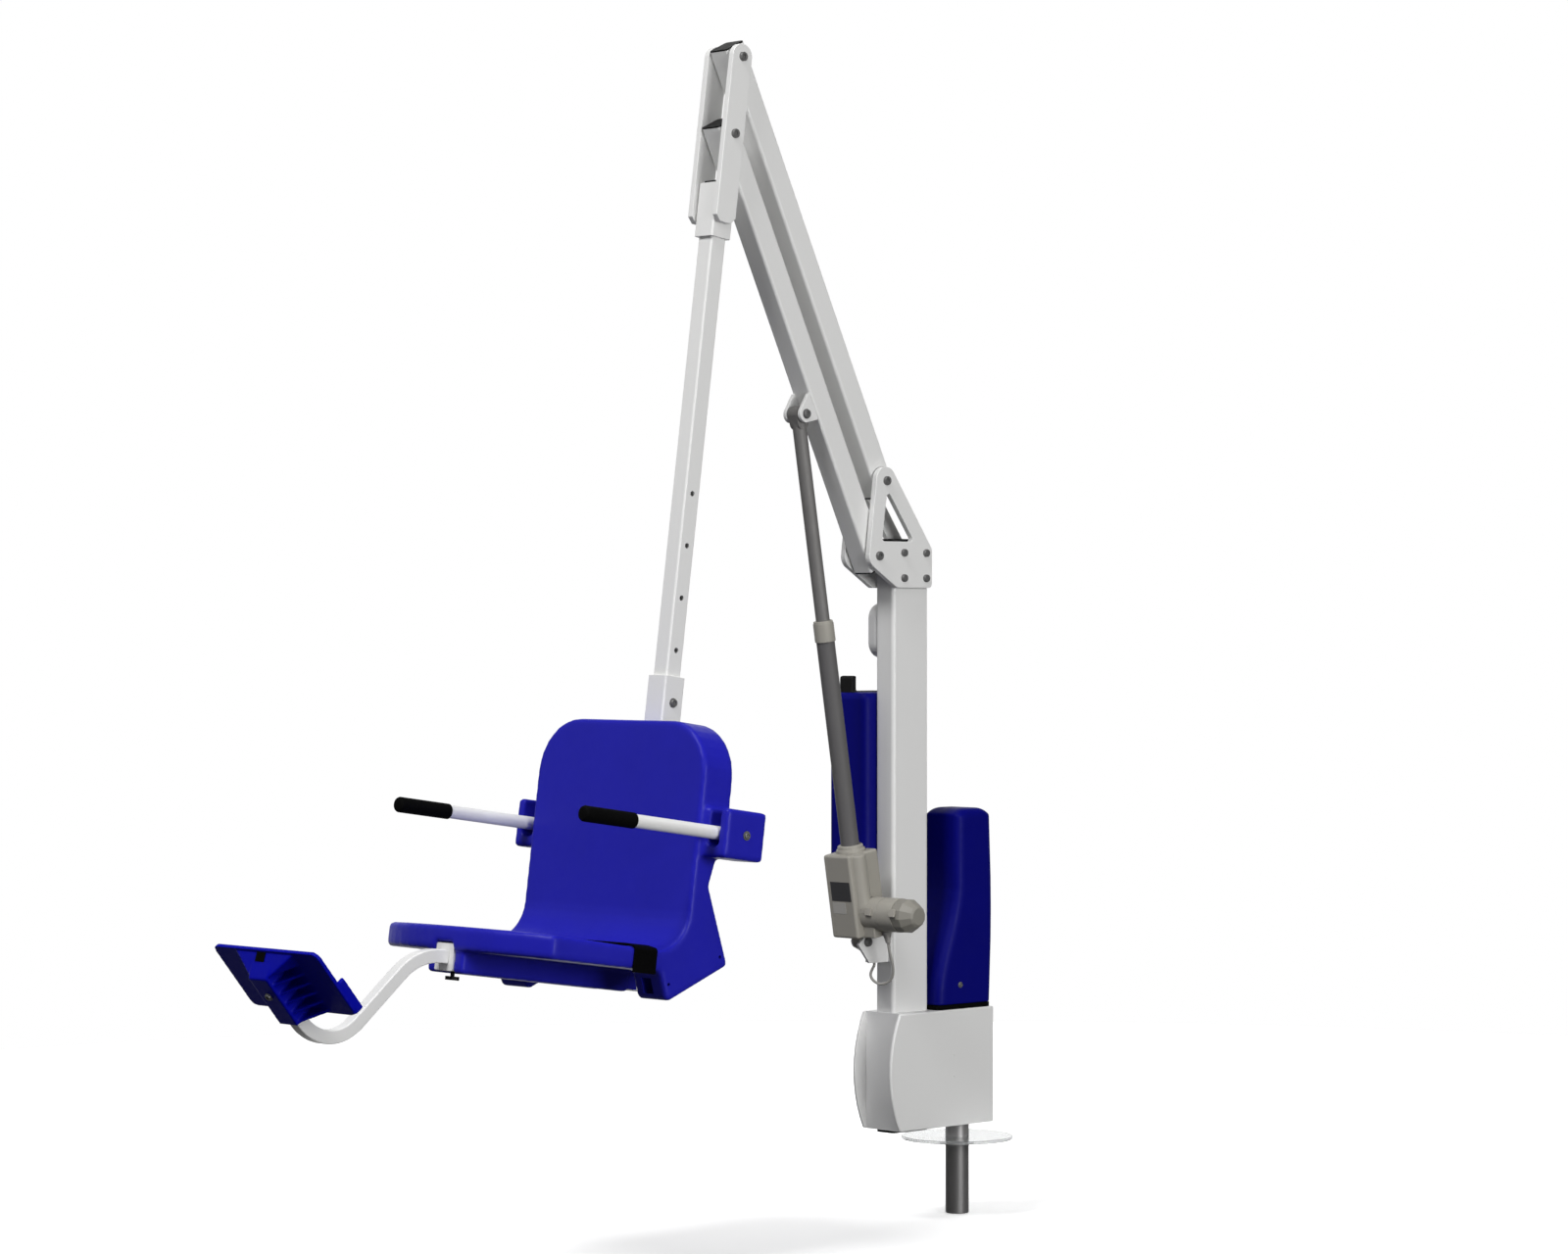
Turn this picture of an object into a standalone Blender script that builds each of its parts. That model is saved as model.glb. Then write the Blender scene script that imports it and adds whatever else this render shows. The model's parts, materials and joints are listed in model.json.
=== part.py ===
"""Pool lift: anchor post, turning mast, parallel lifting arms, seat and linear actuator.

Metres, +Z up, +X from the mast towards the seat, +Y the sitter's left. The origin is the centre of
the anchor post's foot. The lift is drawn raised, with the seat over the deck.
"""

import bmesh
import bpy
from math import asin, atan2, cos, degrees, pi, radians, sin, tan
from mathutils import Matrix, Vector

# Fits
CLEAR = 0.0003              # gap between faces that seat on each other
RUN = 0.0006                # radial running gap of the pivots

# Anchor post and deck
POST_D = 0.0483
POST_LENGTH = 0.403
DECK_LEVEL = 0.1524         # deck surface above the post's foot
DISC_D = 0.2286
DISC_T = 0.00635

# Mast
MAST_DEPTH = 0.1016         # along X
MAST_WIDTH = 0.0508         # along Y
MAST_WALL = 0.0048
MAST_CORNER = 0.008
MAST_X = 0.1615             # mast centre ahead of the post
MAST_TOP = 1.374
CAP_FLANGE = 0.0055         # thickness of a plastic tube cap's flange
CAP_PLUG = 0.014            # depth of a cap's plug
CAP_CORNER = 0.001          # least corner radius of a plug

# Base housing
HOUSING_BOTTOM = 0.187
HOUSING_TOP = 0.424
HOUSING_REAR = 0.052        # behind the post's centre
HOUSING_HALF = 0.054        # half width
HOUSING_WALL = 0.0044
CHEEK_WALL = 0.006
CHEEK_LIP = 0.004           # cheeks ahead of the front wall at top and bottom
CHEEK_BULGE = 0.028         # further reach of the cheeks at mid height
HOUSING_EDGE = 0.003

# Turning drive
BUSH_WALL = 0.0065
BUSH_FLANGE = 0.009
BUSH_FLANGE_T = 0.006
GEAR_MODULE = 0.002
GEAR_TEETH = 44
PINION_TEETH = 14
GEAR_WIDTH = 0.018
TOOTH_SHARE = 0.42          # tooth thickness as a share of the pitch
TOOTH_RISE = 0.8            # tip above the pitch line, in modules
TOOTH_ROOT = 1.15           # root below the pitch line, in modules
SHAFT_D = 0.012
SHAFT_SEAT = 0.022          # length of shaft inside the gear case
SHAFT_TIP = 0.002           # shaft below the pinion
CASE_BACK = 0.034           # gear case behind the post's centre
CASE_AHEAD = 0.018          # gear case ahead of the pinion
CASE_HALF = 0.034
CASE_H = 0.058
CASE_EDGE = 0.004
DRIVE_D = 0.062
DRIVE_H = 0.185

# Rear cover
GASKET_T = 0.0095
GASKET_BAND = 0.008
GASKET_TRIM = 0.006         # inner corner radius below the outer one
COVER_HALF = 0.051
COVER_REAR = 0.0515
COVER_BOW = 0.006           # belly of the rear wall
COVER_TOP = 0.832
COVER_NECK_X = 0.049        # front of the narrow upper part
COVER_NECK_Z = 0.668        # where the front starts to sweep forward
COVER_TOE_RISE = 0.03       # height of the straight toe
COVER_TOE_BACK = 0.004      # lean of the toe
COVER_EASE = 0.65           # share of the sweep that is an S-curve
COVER_WALL = 0.004
COVER_ROUND = 0.017
COVER_CROWN_RUN = 0.033     # length over which the top falls, in front and behind
COVER_CROWN_DROP = 0.0125   # and its fall
COVER_MAST_GAP = 0.003

# Parallel arms and their plates
PIVOT_SPACING = 0.1524
PIVOT_TILT = radians(8.0)   # lean of the line through a pivot pair, top to the rear
ARM_LENGTH = 0.905          # pivot to pivot
ARM_RISE = radians(64.0)    # arm elevation as drawn
ARM_SIDE = 0.0508
ARM_WALL = 0.0040
ARM_CORNER = 0.006
ARM_ABOVE = 0.006           # arm centreline above its pivots
ARM_TAIL_MAST = 0.031
ARM_TAIL_HEAD = 0.024
ARM_CAP_T = 0.003
ARM_CAP_PLUG = 0.007
PIVOT_X = 0.2695            # lower mast pivot
PIVOT_Z = 1.3445
PLATE_T = 0.0127
SIDE_GAP = 0.003175         # arm flank to plate
BOLT_D = 0.0127
BOLT_HEAD_D = 0.018
BOLT_HEAD_T = 0.0065
PIVOT_TUBE_D = 0.026
LOBE_UPPER = 0.028
LOBE_LOWER = 0.0265
PLATE_FOOT_R = 0.010
PLATE_FOOT_Z = 1.281
PLATE_REAR_LAP = 0.0055     # plate past the mast's rear face, inwards
PLATE_SHOULDER_Z = 1.357
PLATE_TOE = 0.0022           # foot corner ahead of the mast's front face
WINDOW_R = 0.006
WINDOW_DROP = 0.0324        # window's top corner below the upper pivot
WINDOW_BACK = 0.0075        # and behind it
WINDOW_REAR = 0.0708        # rear corner ahead of the mast's rear face
WINDOW_FRONT = 0.0165       # front corner behind the lower pivot
PAD_INSET = 0.008           # spacer pads inside the plate's outline
MAST_BOLT_ROWS = (1.3005, 1.3515)
MAST_BOLT_PITCH = 0.0635
MAST_BOLT_AHEAD = 0.0053    # bolt group ahead of the mast's centre
MAST_BOLT_D = 0.0095
MAST_BOLT_HEAD_D = 0.0155

# Head and seat pole, in the leaning frame of the lower head pivot
HEAD_LOBE = 0.0254
HEAD_FOOT = 0.1757          # plate foot below the lower pivot
HEAD_CHAMFER = 0.010
HEAD_SLEEVE_TOP = 0.097
HEAD_SLEEVE_FOOT = 0.203
SLEEVE_SIDE = 0.0508
SLEEVE_CORNER = 0.004
POLE_SIDE = 0.0381
POLE_WALL = 0.0042
POLE_CORNER = 0.0035
POLE_BACK = 0.007           # pole axis behind the head pivots
POLE_TOP = 0.108
POLE_IN = 0.2295            # length of pole inside the lower sleeve
POLE_HOLE_ABOVE = 0.0507    # lowest adjustment hole above the lower sleeve
POLE_HOLE_PITCH = 0.1016
POLE_HOLES = 4
POLE_HOLE_D = 0.0105
SLEEVE_RISE = 0.0945        # lower sleeve above the seat back
SLEEVE_BOLT_DOWN = 0.0509   # its bolt below its top
SLEEVE_BOLT_D = 0.0095
SMALL_HEAD_RATIO = 1.6      # head to shank diameter of the smaller bolts

# Seat shell, in the same leaning frame
SEAT_HALF = 0.2375
BACK_FRONT = 0.0895
BACK_REAR = 0.0125
BACK_HEIGHT = 0.434         # above the pan
BACK_CORNER = 0.105
PAN_TOP = 1.589             # below the lower head pivot
PAN_BAND = 0.039
PAN_REACH = 0.414           # pan front at its corners
PAN_BULGE = 0.060           # further reach at the middle
PAN_FILLET = 0.076          # back to pan
SHELL_EDGE = 0.007
WAIST_F = 0.0457
WAIST_RISE = 0.129          # above the pan
HEEL_F = -0.022
HEEL_DROP = 0.013           # below the pan's top
SOLE_DROP = 0.090           # below the pan's top
SOLE_REAR_F = 0.115
SOLE_FRONT_F = 0.1255
FOOT_FRONT_F = 0.147
PAN_ROOT = 0.209            # side outline of the back reaches into the pan
CHEEK_THICK = 0.080         # thickness of the shell's side panels below the pan
KEEL_HALF = 0.050
KEEL_DROP = 0.080           # below the pan's top
KEEL_FRONT = 0.4655
KEEL_REAR = 0.052
KEEL_EDGE = 0.005
WING_SKIN = 0.035           # armrest's axis to the fork's outer face
WING_REAR = -0.024
WING_FRONT = 0.077
WING_RISE = 0.275           # fork's top above the pan
WING_HEIGHT = 0.093
WING_EDGE = 0.006
WING_FLOOR = 0.022
WING_BACK = 0.020
TUBE_FREE = 0.0016          # armrest tube to its slot

# Seat rail and footrest
RAIL_SIDE = 0.0508
RAIL_DROP = 0.051           # rail's axis below the pan's top
RAIL_FRONT = 0.468
RAIL_WALL = 0.0048
BORE_CORNER = 0.002
SOCKET_DEPTH = 0.085
FOOT_TUBE = 0.0254
FOOT_TUBE_WALL = 0.003
FOOT_TUBE_CORNER = 0.0025
FOOT_BORE_CORNER = 0.001
FOOT_TUBE_IN = 0.070        # length of tube inside the socket
FOOT_BEND_1_F = 0.5347
FOOT_BEND_1 = radians(47.7)
FOOT_BEND_1_R = 0.120
FOOT_DROP = 0.2735          # between the two bend corners
FOOT_BEND_2 = radians(90.3)
FOOT_BEND_2_R = 0.088
FOOT_PLATE_LEN = 0.145
FOOT_PLATE_HALF = 0.150
FOOT_PLATE_T = 0.008
FOOT_PLATE_START = 0.095    # heel edge from the second bend corner
FOOT_PLATE_ROUND = 0.012
FOOT_BLOCK_HALF = 0.027
FOOT_BLOCK_SKIN = 0.008
FOOT_BLOCK_LEN = 0.141
FOOT_BLOCK_SLOPE = 0.027    # how far the block's end leans back
FOOT_BLOCK_SETBACK = 0.004  # block behind the heel edge
FOOT_RIB_SETBACK = 0.005    # first rib behind the heel edge
FOOT_RIB_CROWN = 0.9        # rib's width at the block, as a share of the block
FOOT_RIBS = 5
FOOT_RIB_T = 0.005
FOOT_RIB_REACH = 0.061
FOOT_HIP_INSET = 0.002      # sloping hip behind the toe edge
HEEL_RIM_H = 0.0145
HEEL_RIM_LEN = 0.072
HEEL_RIM_T = 0.008
HEEL_RIM_INSET = 0.001
KNOB_D = 0.026
KNOB_T = 0.007
KNOB_STEM_D = 0.008
KNOB_DROP = 0.016
KNOB_LOBES = 8
KNOB_WAIST = 0.86           # radius between the lobes, as a share
KNOB_BACK = 0.024           # knob centre behind the socket mouth

# Armrests
ARMREST_RISE = 0.2283       # axis above the pan
ARMREST_F = 0.0248
ARMREST_OUT = 0.0275        # axis outside the seat's flank
ARMREST_D = 0.0254
ARMREST_WALL = 0.0025
ARMREST_REACH = 0.403       # grip's front end
ARMREST_TAIL = 0.020
GRIP_D = 0.0298
GRIP_LEN = 0.125
GRIP_END = 0.004
GRIP_EDGE = 0.003
ARMREST_PIN_D = 0.0095
ARMREST_PIN_IN = 0.006      # pin into the fork's inner wall
ARMREST_PIN_SHY = 0.001     # pin's end below the fork's outer face

# Belt
BELT_W = 0.055
BELT_T = 0.003
BELT_F = 0.192
BELT_DROP = 0.046

# Actuator
ACT_PIN_X = 0.277
ACT_PIN_Z = 0.5706
ROD_PIN_ALONG = 0.332       # along the lower arm from its mast pivot
ROD_PIN_BELOW = 0.0455      # below the line through the lower arm's pivots
GEARBOX_AHEAD = 0.0445      # case ahead of the tube's axis
GEARBOX_BEHIND = 0.040
GEARBOX_WIDTH = 0.073
GEARBOX_FOOT = 0.0155
GEARBOX_TOP = 0.1845
GEARBOX_EDGE = 0.006
BOSS_D = 0.059
BOSS_STEP_D = 0.051
BOSS_H = 0.014
TUBE_SEAT = 0.025           # tube below the case's top
BOSS_LEAD = 0.004           # taper of the boss
BOSS_EDGE = 0.003
ACT_TUBE_D = 0.037
ACT_TUBE_WALL = 0.0040
ACT_TUBE_TOP = 0.640
COLLAR_D = 0.0415
COLLAR_LAP = 0.029          # collar down over the tube
COLLAR_LIP = 0.013          # collar above the tube
ROD_D = 0.028
ROD_LAP = 0.040             # rod left inside the tube as drawn
ROD_EYE_R = 0.0165
ROD_EYE_T = 0.026
LUG_T = 0.021
LUG_R = 0.0145
ACT_PIN_D = 0.012
MOTOR_D = 0.068
MOTOR_Z = 0.0593
MOTOR_END = 0.1225
MOTOR_CAP_END = 0.1695
MOTOR_CAP_SIDES = 12
MOTOR_CAP_BAND = 0.0225     # straight part of the cap
MOTOR_CAP_EDGE = 0.003
MOTOR_CAP_TAPER = 0.62      # radius where the cap's taper ends, as a share
MOTOR_CAP_NOSE = 0.5
EAR_T = 0.008
EAR_R = 0.017
EAR_BEHIND = 0.020          # ear foot on the arm, towards the mast
EAR_AHEAD = 0.031           # ear foot on the arm, towards the head
EAR_GAP = 0.0034            # rod eye flank to ear
EAR_HEAD_RIM = 0.003        # bolt head past its shank
BRACKET_T = 0.0055
BRACKET_FOOT = 0.527
BRACKET_TOP = 0.578
BRACKET_BASE_T = 0.0055
BRACKET_HALF = 0.023
BRACKET_EAR_R = 0.0135
BRACKET_EAR_INSET = 0.0005
PLATE_CORNER = 0.003        # corner radius of ears and head plates
BRACKET_CORNER = 0.002
BRACKET_BROW = 0.023        # front corner of the near ear ahead of the pin
BRACKET_BROW_DROP = 0.005   # and below it
BRACKET_TOE = 0.0595        # foot of the near ear ahead of the mast
BRACKET_FLOOR = 0.040       # floor between the ears, ahead of the mast

# Control box, battery and junction box on the mast's far side
BOX_FRONT = 0.240
BOX_DEPTH = 0.157
BOX_FAR = 0.134
BOX_TOP = 1.070
BOX_FOOT = 0.710
BOX_ROUND = 0.014
BATTERY_X = 0.176
BATTERY_DEPTH = 0.098
BATTERY_NEAR = 0.070
BATTERY_FAR = 0.118
BATTERY_RISE = 0.033
BATTERY_IN = 0.120
BATTERY_EDGE = 0.005
TAB_T = 0.013               # lifting tab at the battery's front
TAB_ROOT = 0.002            # battery's top above the control box, behind the tab
TAB_IN = 0.011              # near end of the tab from the battery's flank
JUNCTION_X = 0.1585
JUNCTION_W = 0.105
JUNCTION_GAP = 0.070        # above the control box
JUNCTION_HEIGHT = 0.110
JUNCTION_DEPTH = 0.024
JUNCTION_ROUND = 0.030

# Actuator lead
PLUG_D = 0.017
PLUG_FOOT_D = 0.010
PLUG_LEN = 0.024
PLUG_Y = 0.0745
LEAD_D = 0.0055
LEAD_FREE = 0.0016          # lead to plug, so that the actuator can tilt
LEAD_ROUTE = (
    (0.2741, 0.0733, 0.5606), (0.2650, 0.0712, 0.5385), (0.2567, 0.0685, 0.5183),
    (0.2526, 0.0617, 0.5019), (0.2527, 0.0509, 0.4915), (0.2571, 0.0359, 0.4859),
    (0.2601, 0.0222, 0.4892), (0.2602, 0.0113, 0.4964), (0.2562, 0.0045, 0.5046),
    (0.2480, 0.0015, 0.5140), (0.2420, 0.0005, 0.5205),
)

# Colours
WHITE = (0.80, 0.80, 0.79)
BLUE = (0.022, 0.022, 0.30)
BLACK = (0.012, 0.012, 0.012)
WARM_GREY = (0.40, 0.38, 0.34)
STEEL = (0.28, 0.28, 0.29)
DARK_STEEL = (0.07, 0.07, 0.07)
CLEAR_TINT = (0.85, 0.90, 0.92)
BRONZE = (0.45, 0.32, 0.14)

# Joint places worked out from the sizes above
UP = Vector((-sin(PIVOT_TILT), 0.0, cos(PIVOT_TILT)))
ALONG = Vector((cos(ARM_RISE), 0.0, sin(ARM_RISE)))
BELOW = Vector((sin(ARM_RISE), 0.0, -cos(ARM_RISE)))
MAST_LOWER = Vector((PIVOT_X, 0.0, PIVOT_Z))
MAST_UPPER = MAST_LOWER + PIVOT_SPACING * UP
HEAD_LOWER = MAST_LOWER + ARM_LENGTH * ALONG
ACT_PIN = Vector((ACT_PIN_X, 0.0, ACT_PIN_Z))
ROD_PIN = MAST_LOWER + ROD_PIN_ALONG * ALONG + ROD_PIN_BELOW * BELOW
ACT_LENGTH = (ROD_PIN - ACT_PIN).length
ACT_TILT = atan2(ROD_PIN.x - ACT_PIN.x, ROD_PIN.z - ACT_PIN.z)

# Shared planes
MAST_FRONT = MAST_X + MAST_DEPTH / 2
MAST_REAR = MAST_X - MAST_DEPTH / 2
PLATE_IN = ARM_SIDE / 2 + SIDE_GAP
PLATE_OUT = PLATE_IN + PLATE_T
GEAR_CENTRES = GEAR_MODULE * (GEAR_TEETH + PINION_TEETH) / 2
GEAR_FOOT = POST_LENGTH - GEAR_WIDTH
COVER_FOOT = HOUSING_TOP + GASKET_T
POLE_F = -POLE_BACK
SLEEVE_FRONT = POLE_F + SLEEVE_SIDE / 2
BACK_TOP = PAN_TOP - BACK_HEIGHT
SEAT_SLEEVE_TOP = BACK_TOP - SLEEVE_RISE
SLEEVE_BOLT_W = SEAT_SLEEVE_TOP + SLEEVE_BOLT_DOWN
POLE_FOOT = SEAT_SLEEVE_TOP + POLE_IN
WAIST_W = PAN_TOP - WAIST_RISE
HEEL_W = PAN_TOP + HEEL_DROP
SOLE_W = PAN_TOP + SOLE_DROP
KEEL_W = PAN_TOP + KEEL_DROP
RAIL_W = PAN_TOP + RAIL_DROP
WING_TOP = PAN_TOP - WING_RISE
WING_FOOT = WING_TOP + WING_HEIGHT
ARMREST_W = PAN_TOP - ARMREST_RISE
ARMREST_Y = SEAT_HALF + ARMREST_OUT
ARMREST_SLOT = ARMREST_D / 2 + TUBE_FREE
WING_OUT = ARMREST_Y + WING_SKIN
FOOT_STUB = FOOT_PLATE_START + FOOT_BLOCK_LEN - FOOT_BLOCK_SLOPE - FOOT_BLOCK_SKIN
EAR_IN = ROD_EYE_T / 2 + EAR_GAP
COLLAR_FOOT = ACT_TUBE_TOP - COLLAR_LAP
COLLAR_TOP = ACT_TUBE_TOP + COLLAR_LIP
ROD_FOOT = ACT_TUBE_TOP - ROD_LAP
BRACKET_IN = LUG_T / 2 + CLEAR


def clear_scene():
    """Remove every object that is already there."""
    for item in list(bpy.data.objects):
        bpy.data.objects.remove(item)


def keep(name, mesh_data):
    """Turn a bmesh into a linked object whose faces point outwards."""
    bmesh.ops.remove_doubles(mesh_data, verts=mesh_data.verts, dist=0.000005)
    bmesh.ops.recalc_face_normals(mesh_data, faces=mesh_data.faces)
    mesh = bpy.data.meshes.new(name)
    mesh_data.to_mesh(mesh)
    mesh_data.free()
    made = bpy.data.objects.new(name, mesh)
    bpy.context.scene.collection.objects.link(made)
    return made


def settle(target):
    """Replace an object's mesh by its evaluated one and drop the modifiers."""
    graph = bpy.context.evaluated_depsgraph_get()
    settled = bpy.data.meshes.new_from_object(target.evaluated_get(graph))
    target.modifiers.clear()
    target.data = settled
    return target


def combine(target, tool, operation):
    """Apply a Boolean of the tool to the target and drop the tool."""
    step = target.modifiers.new(operation, "BOOLEAN")
    step.operation = operation
    step.solver = "EXACT"
    step.object = tool
    settle(target)
    bpy.data.objects.remove(tool)
    return target


def cut(target, *tools):
    """Cut each tool out of the target."""
    for tool in tools:
        combine(target, tool, "DIFFERENCE")
    return target


def join(target, *tools):
    """Fuse each tool with the target."""
    for tool in tools:
        combine(target, tool, "UNION")
    return target


def soften(target, width, segments=2, angle=radians(40)):
    """Round the edges that are sharper than the angle."""
    step = target.modifiers.new("Round", "BEVEL")
    step.width = width
    step.segments = segments
    step.limit_method = "ANGLE"
    step.angle_limit = angle
    return settle(target)


def lift(point, height, axis):
    """Place a 2-D point at a height along an axis: X gives (y, z), Y gives (x, z), Z gives (x, y)."""
    a, b = point
    if axis == "X":
        return Vector((height, a, b))
    if axis == "Y":
        return Vector((a, height, b))
    return Vector((a, b, height))


def ring_edges(shape, points):
    """Add a closed loop of edges through the points."""
    verts = [shape.verts.new(point) for point in points]
    return [shape.edges.new((verts[i - 1], verts[i])) for i in range(len(verts))]


def prism(name, outline, low, high, axis="Y", inner=None):
    """Extrude an outline, or the band between it and an inner one, along an axis."""
    shape = bmesh.new()
    edges = ring_edges(shape, [lift(point, low, axis) for point in outline])
    if inner:
        edges += ring_edges(shape, [lift(point, low, axis) for point in inner])
        bmesh.ops.bridge_loops(shape, edges=edges)
    else:
        bmesh.ops.contextual_create(shape, geom=edges)
    grown = bmesh.ops.extrude_face_region(shape, geom=shape.faces[:])
    verts = [item for item in grown["geom"] if isinstance(item, bmesh.types.BMVert)]
    bmesh.ops.translate(shape, verts=verts, vec=lift((0, 0), high - low, axis))
    return keep(name, shape)


def arc(centre, radius, start, end, steps):
    """Points of an arc, with angles in degrees, both ends included."""
    turn = [radians(start + (end - start) * i / steps) for i in range(steps + 1)]
    return [(centre[0] + radius * cos(t), centre[1] + radius * sin(t)) for t in turn]


def circle(centre, radius, sides=20):
    """Points of a full circle."""
    return arc(centre, radius, 0, 360 - 360 / sides, sides - 1)


def rounded(centre, half_a, half_b, radius, steps=2):
    """Rectangle with round corners."""
    a, b = half_a - radius, half_b - radius
    points = []
    for sign_a, sign_b, start in ((1, 1, 0), (-1, 1, 90), (-1, -1, 180), (1, -1, 270)):
        corner = (centre[0] + sign_a * a, centre[1] + sign_b * b)
        points += arc(corner, radius, start, start + 90, steps)
    return points


def rod(name, centre, radius, low, high, axis="Y", sides=20, bore=0.0):
    """Round bar or tube along an axis."""
    inner = circle(centre, bore, sides) if bore else None
    return prism(name, circle(centre, radius, sides), low, high, axis, inner)


def block(name, low, high, edge=0.0, segments=2):
    """Box between two corners, with round edges if asked."""
    shape = bmesh.new()
    size = [high[i] - low[i] for i in range(3)]
    place = Matrix.Translation([(high[i] + low[i]) / 2 for i in range(3)])
    bmesh.ops.create_cube(shape, size=1.0, matrix=place @ Matrix.Diagonal((*size, 1.0)))
    if edge:
        bmesh.ops.bevel(shape, geom=shape.edges[:], offset=edge, segments=segments,
                        profile=0.5, affect="EDGES", clamp_overlap=True)
    return keep(name, shape)


def hull(name, circles, low, high, sides=20):
    """Plate whose outline is stretched round circles given as (x, z, radius), along Y."""
    shape = bmesh.new()
    for x, z, radius in circles:
        for point in circle((x, z), radius, sides):
            shape.verts.new(lift(point, low, "Y"))
            shape.verts.new(lift(point, high, "Y"))
    found = bmesh.ops.convex_hull(shape, input=shape.verts[:])
    loose = [item for item in found["geom_interior"] if isinstance(item, bmesh.types.BMVert)]
    bmesh.ops.delete(shape, geom=loose, context="VERTS")
    bmesh.ops.dissolve_limit(shape, angle_limit=radians(1), verts=shape.verts, edges=shape.edges)
    return keep(name, shape)


def wedge(name, corners):
    """Solid with flat faces stretched round its corners."""
    shape = bmesh.new()
    for corner in corners:
        shape.verts.new(corner)
    bmesh.ops.convex_hull(shape, input=shape.verts[:])
    bmesh.ops.dissolve_limit(shape, angle_limit=radians(1), verts=shape.verts, edges=shape.edges)
    return keep(name, shape)


def turned(name, profile, steps=24, axis="Z"):
    """Solid of revolution from (radius, height) points that start and end on the axis."""
    shape = bmesh.new()
    verts = [shape.verts.new((radius, 0.0, height)) for radius, height in profile]
    edges = [shape.edges.new(pair) for pair in zip(verts, verts[1:])]
    bmesh.ops.spin(shape, geom=verts + edges, cent=(0, 0, 0), axis=(0, 0, 1), angle=2 * pi,
                   steps=steps, use_merge=True)
    bmesh.ops.remove_doubles(shape, verts=shape.verts, dist=0.00001)
    if axis == "Y":
        bmesh.ops.rotate(shape, verts=shape.verts, matrix=Matrix.Rotation(-pi / 2, 3, "X"))
    return keep(name, shape)


def shifted(made, x=0.0, y=0.0, z=0.0):
    """Move an object's mesh."""
    made.data.transform(Matrix.Translation((x, y, z)))
    return made


def swept(name, stations, outline, inner=None):
    """Tube along stations given as (x, z, heading), with the section square to the heading."""
    shape = bmesh.new()
    loops = [outline] + ([inner] if inner else [])
    rows = []
    for x, z, heading in stations:
        across = Vector((-sin(heading), 0.0, cos(heading)))
        place = Vector((x, 0.0, z))
        rows.append([[shape.verts.new(place + Vector((0, a, 0)) + across * b) for a, b in loop]
                     for loop in loops])
    for near, far in zip(rows, rows[1:]):
        for one, two in zip(near, far):
            for i in range(len(one)):
                shape.faces.new((one[i - 1], one[i], two[i], two[i - 1]))
    for end in (rows[0], rows[-1]):
        if inner:
            for i in range(len(outline)):
                shape.faces.new((end[0][i - 1], end[0][i], end[1][i], end[1][i - 1]))
        else:
            shape.faces.new(end[0])
    return keep(name, shape)


def frame_at(name, place, tilt=0.0, parent=None):
    """Empty on a joint axis, turned about Y."""
    made = bpy.data.objects.new(name, None)
    bpy.context.scene.collection.objects.link(made)
    made.location = place
    made.rotation_euler = (0.0, tilt, 0.0)
    made.parent = parent
    return made


def dress(made, colour, rough, metal, frame=None, smooth=True):
    """Give a piece its material, its shading and the frame that carries it."""
    finish = bpy.data.materials.new(made.name + "_finish")
    finish.use_nodes = True
    shader = finish.node_tree.nodes["Principled BSDF"]
    shader.inputs["Base Color"].default_value = (*colour, 1.0)
    shader.inputs["Roughness"].default_value = rough
    shader.inputs["Metallic"].default_value = metal
    made.data.materials.clear()
    made.data.materials.append(finish)
    if smooth:
        made.data.shade_smooth()
        made.data.set_sharp_from_angle(angle=radians(35))
    made.parent = frame
    return made


def painted(made, frame=None):
    """White powder coat."""
    return dress(made, WHITE, 0.45, 0.0, frame)


def moulded(made, frame=None):
    """Blue moulded plastic."""
    return dress(made, BLUE, 0.42, 0.0, frame)


def black_plastic(made, frame=None):
    """Black plastic or rubber."""
    return dress(made, BLACK, 0.55, 0.0, frame)


def bare_steel(made, frame=None):
    """Dark stainless hardware."""
    return dress(made, DARK_STEEL, 0.35, 1.0, frame)


def bolt(name, x, z, half_grip, shank_d, head_d, head_t, sides=12):
    """Through bolt along Y with a round head on each side."""
    shank, head = shank_d / 2, head_d / 2
    seat = half_grip + CLEAR
    end = seat + head_t
    profile = [(0, -end), (head, -end), (head, -seat), (shank, -seat),
               (shank, seat), (head, seat), (head, end), (0, end)]
    return shifted(turned(name, profile, sides, "Y"), x, 0.0, z)


def toothed(teeth, phase):
    """Outline of a spur gear with straight flanks."""
    pitch = GEAR_MODULE * teeth / 2
    half = TOOTH_SHARE * pi / teeth
    lean = tan(radians(20)) / pitch
    rise, root = TOOTH_RISE * GEAR_MODULE, TOOTH_ROOT * GEAR_MODULE
    tooth = ((-half - root * lean, pitch - root), (-half + rise * lean, pitch + rise),
             (half - rise * lean, pitch + rise), (half + root * lean, pitch - root))
    points = []
    for i in range(teeth):
        turn = phase + 2 * pi * i / teeth
        points += [(radius * cos(turn + a), radius * sin(turn + a)) for a, radius in tooth]
    return points


def cap_for(name, half_a, half_b, corner, wall, flange, plug, seat, way, axis, middle=(0.0, 0.0)):
    """Plastic cap: a flange outside a tube's end at the seat, and a plug inside it."""
    outline = rounded(middle, half_a, half_b, corner)
    inside = max(corner - wall, CAP_CORNER)
    core = rounded(middle, half_a - wall - CLEAR, half_b - wall - CLEAR, inside)
    face = seat + way * CLEAR
    end = face + way * flange
    made = prism(name, outline, min(face, end), max(face, end), axis)
    inner = seat - way * plug
    root = (face + end) / 2
    return join(made, prism("plug", core, min(inner, root), max(inner, root), axis))


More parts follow.
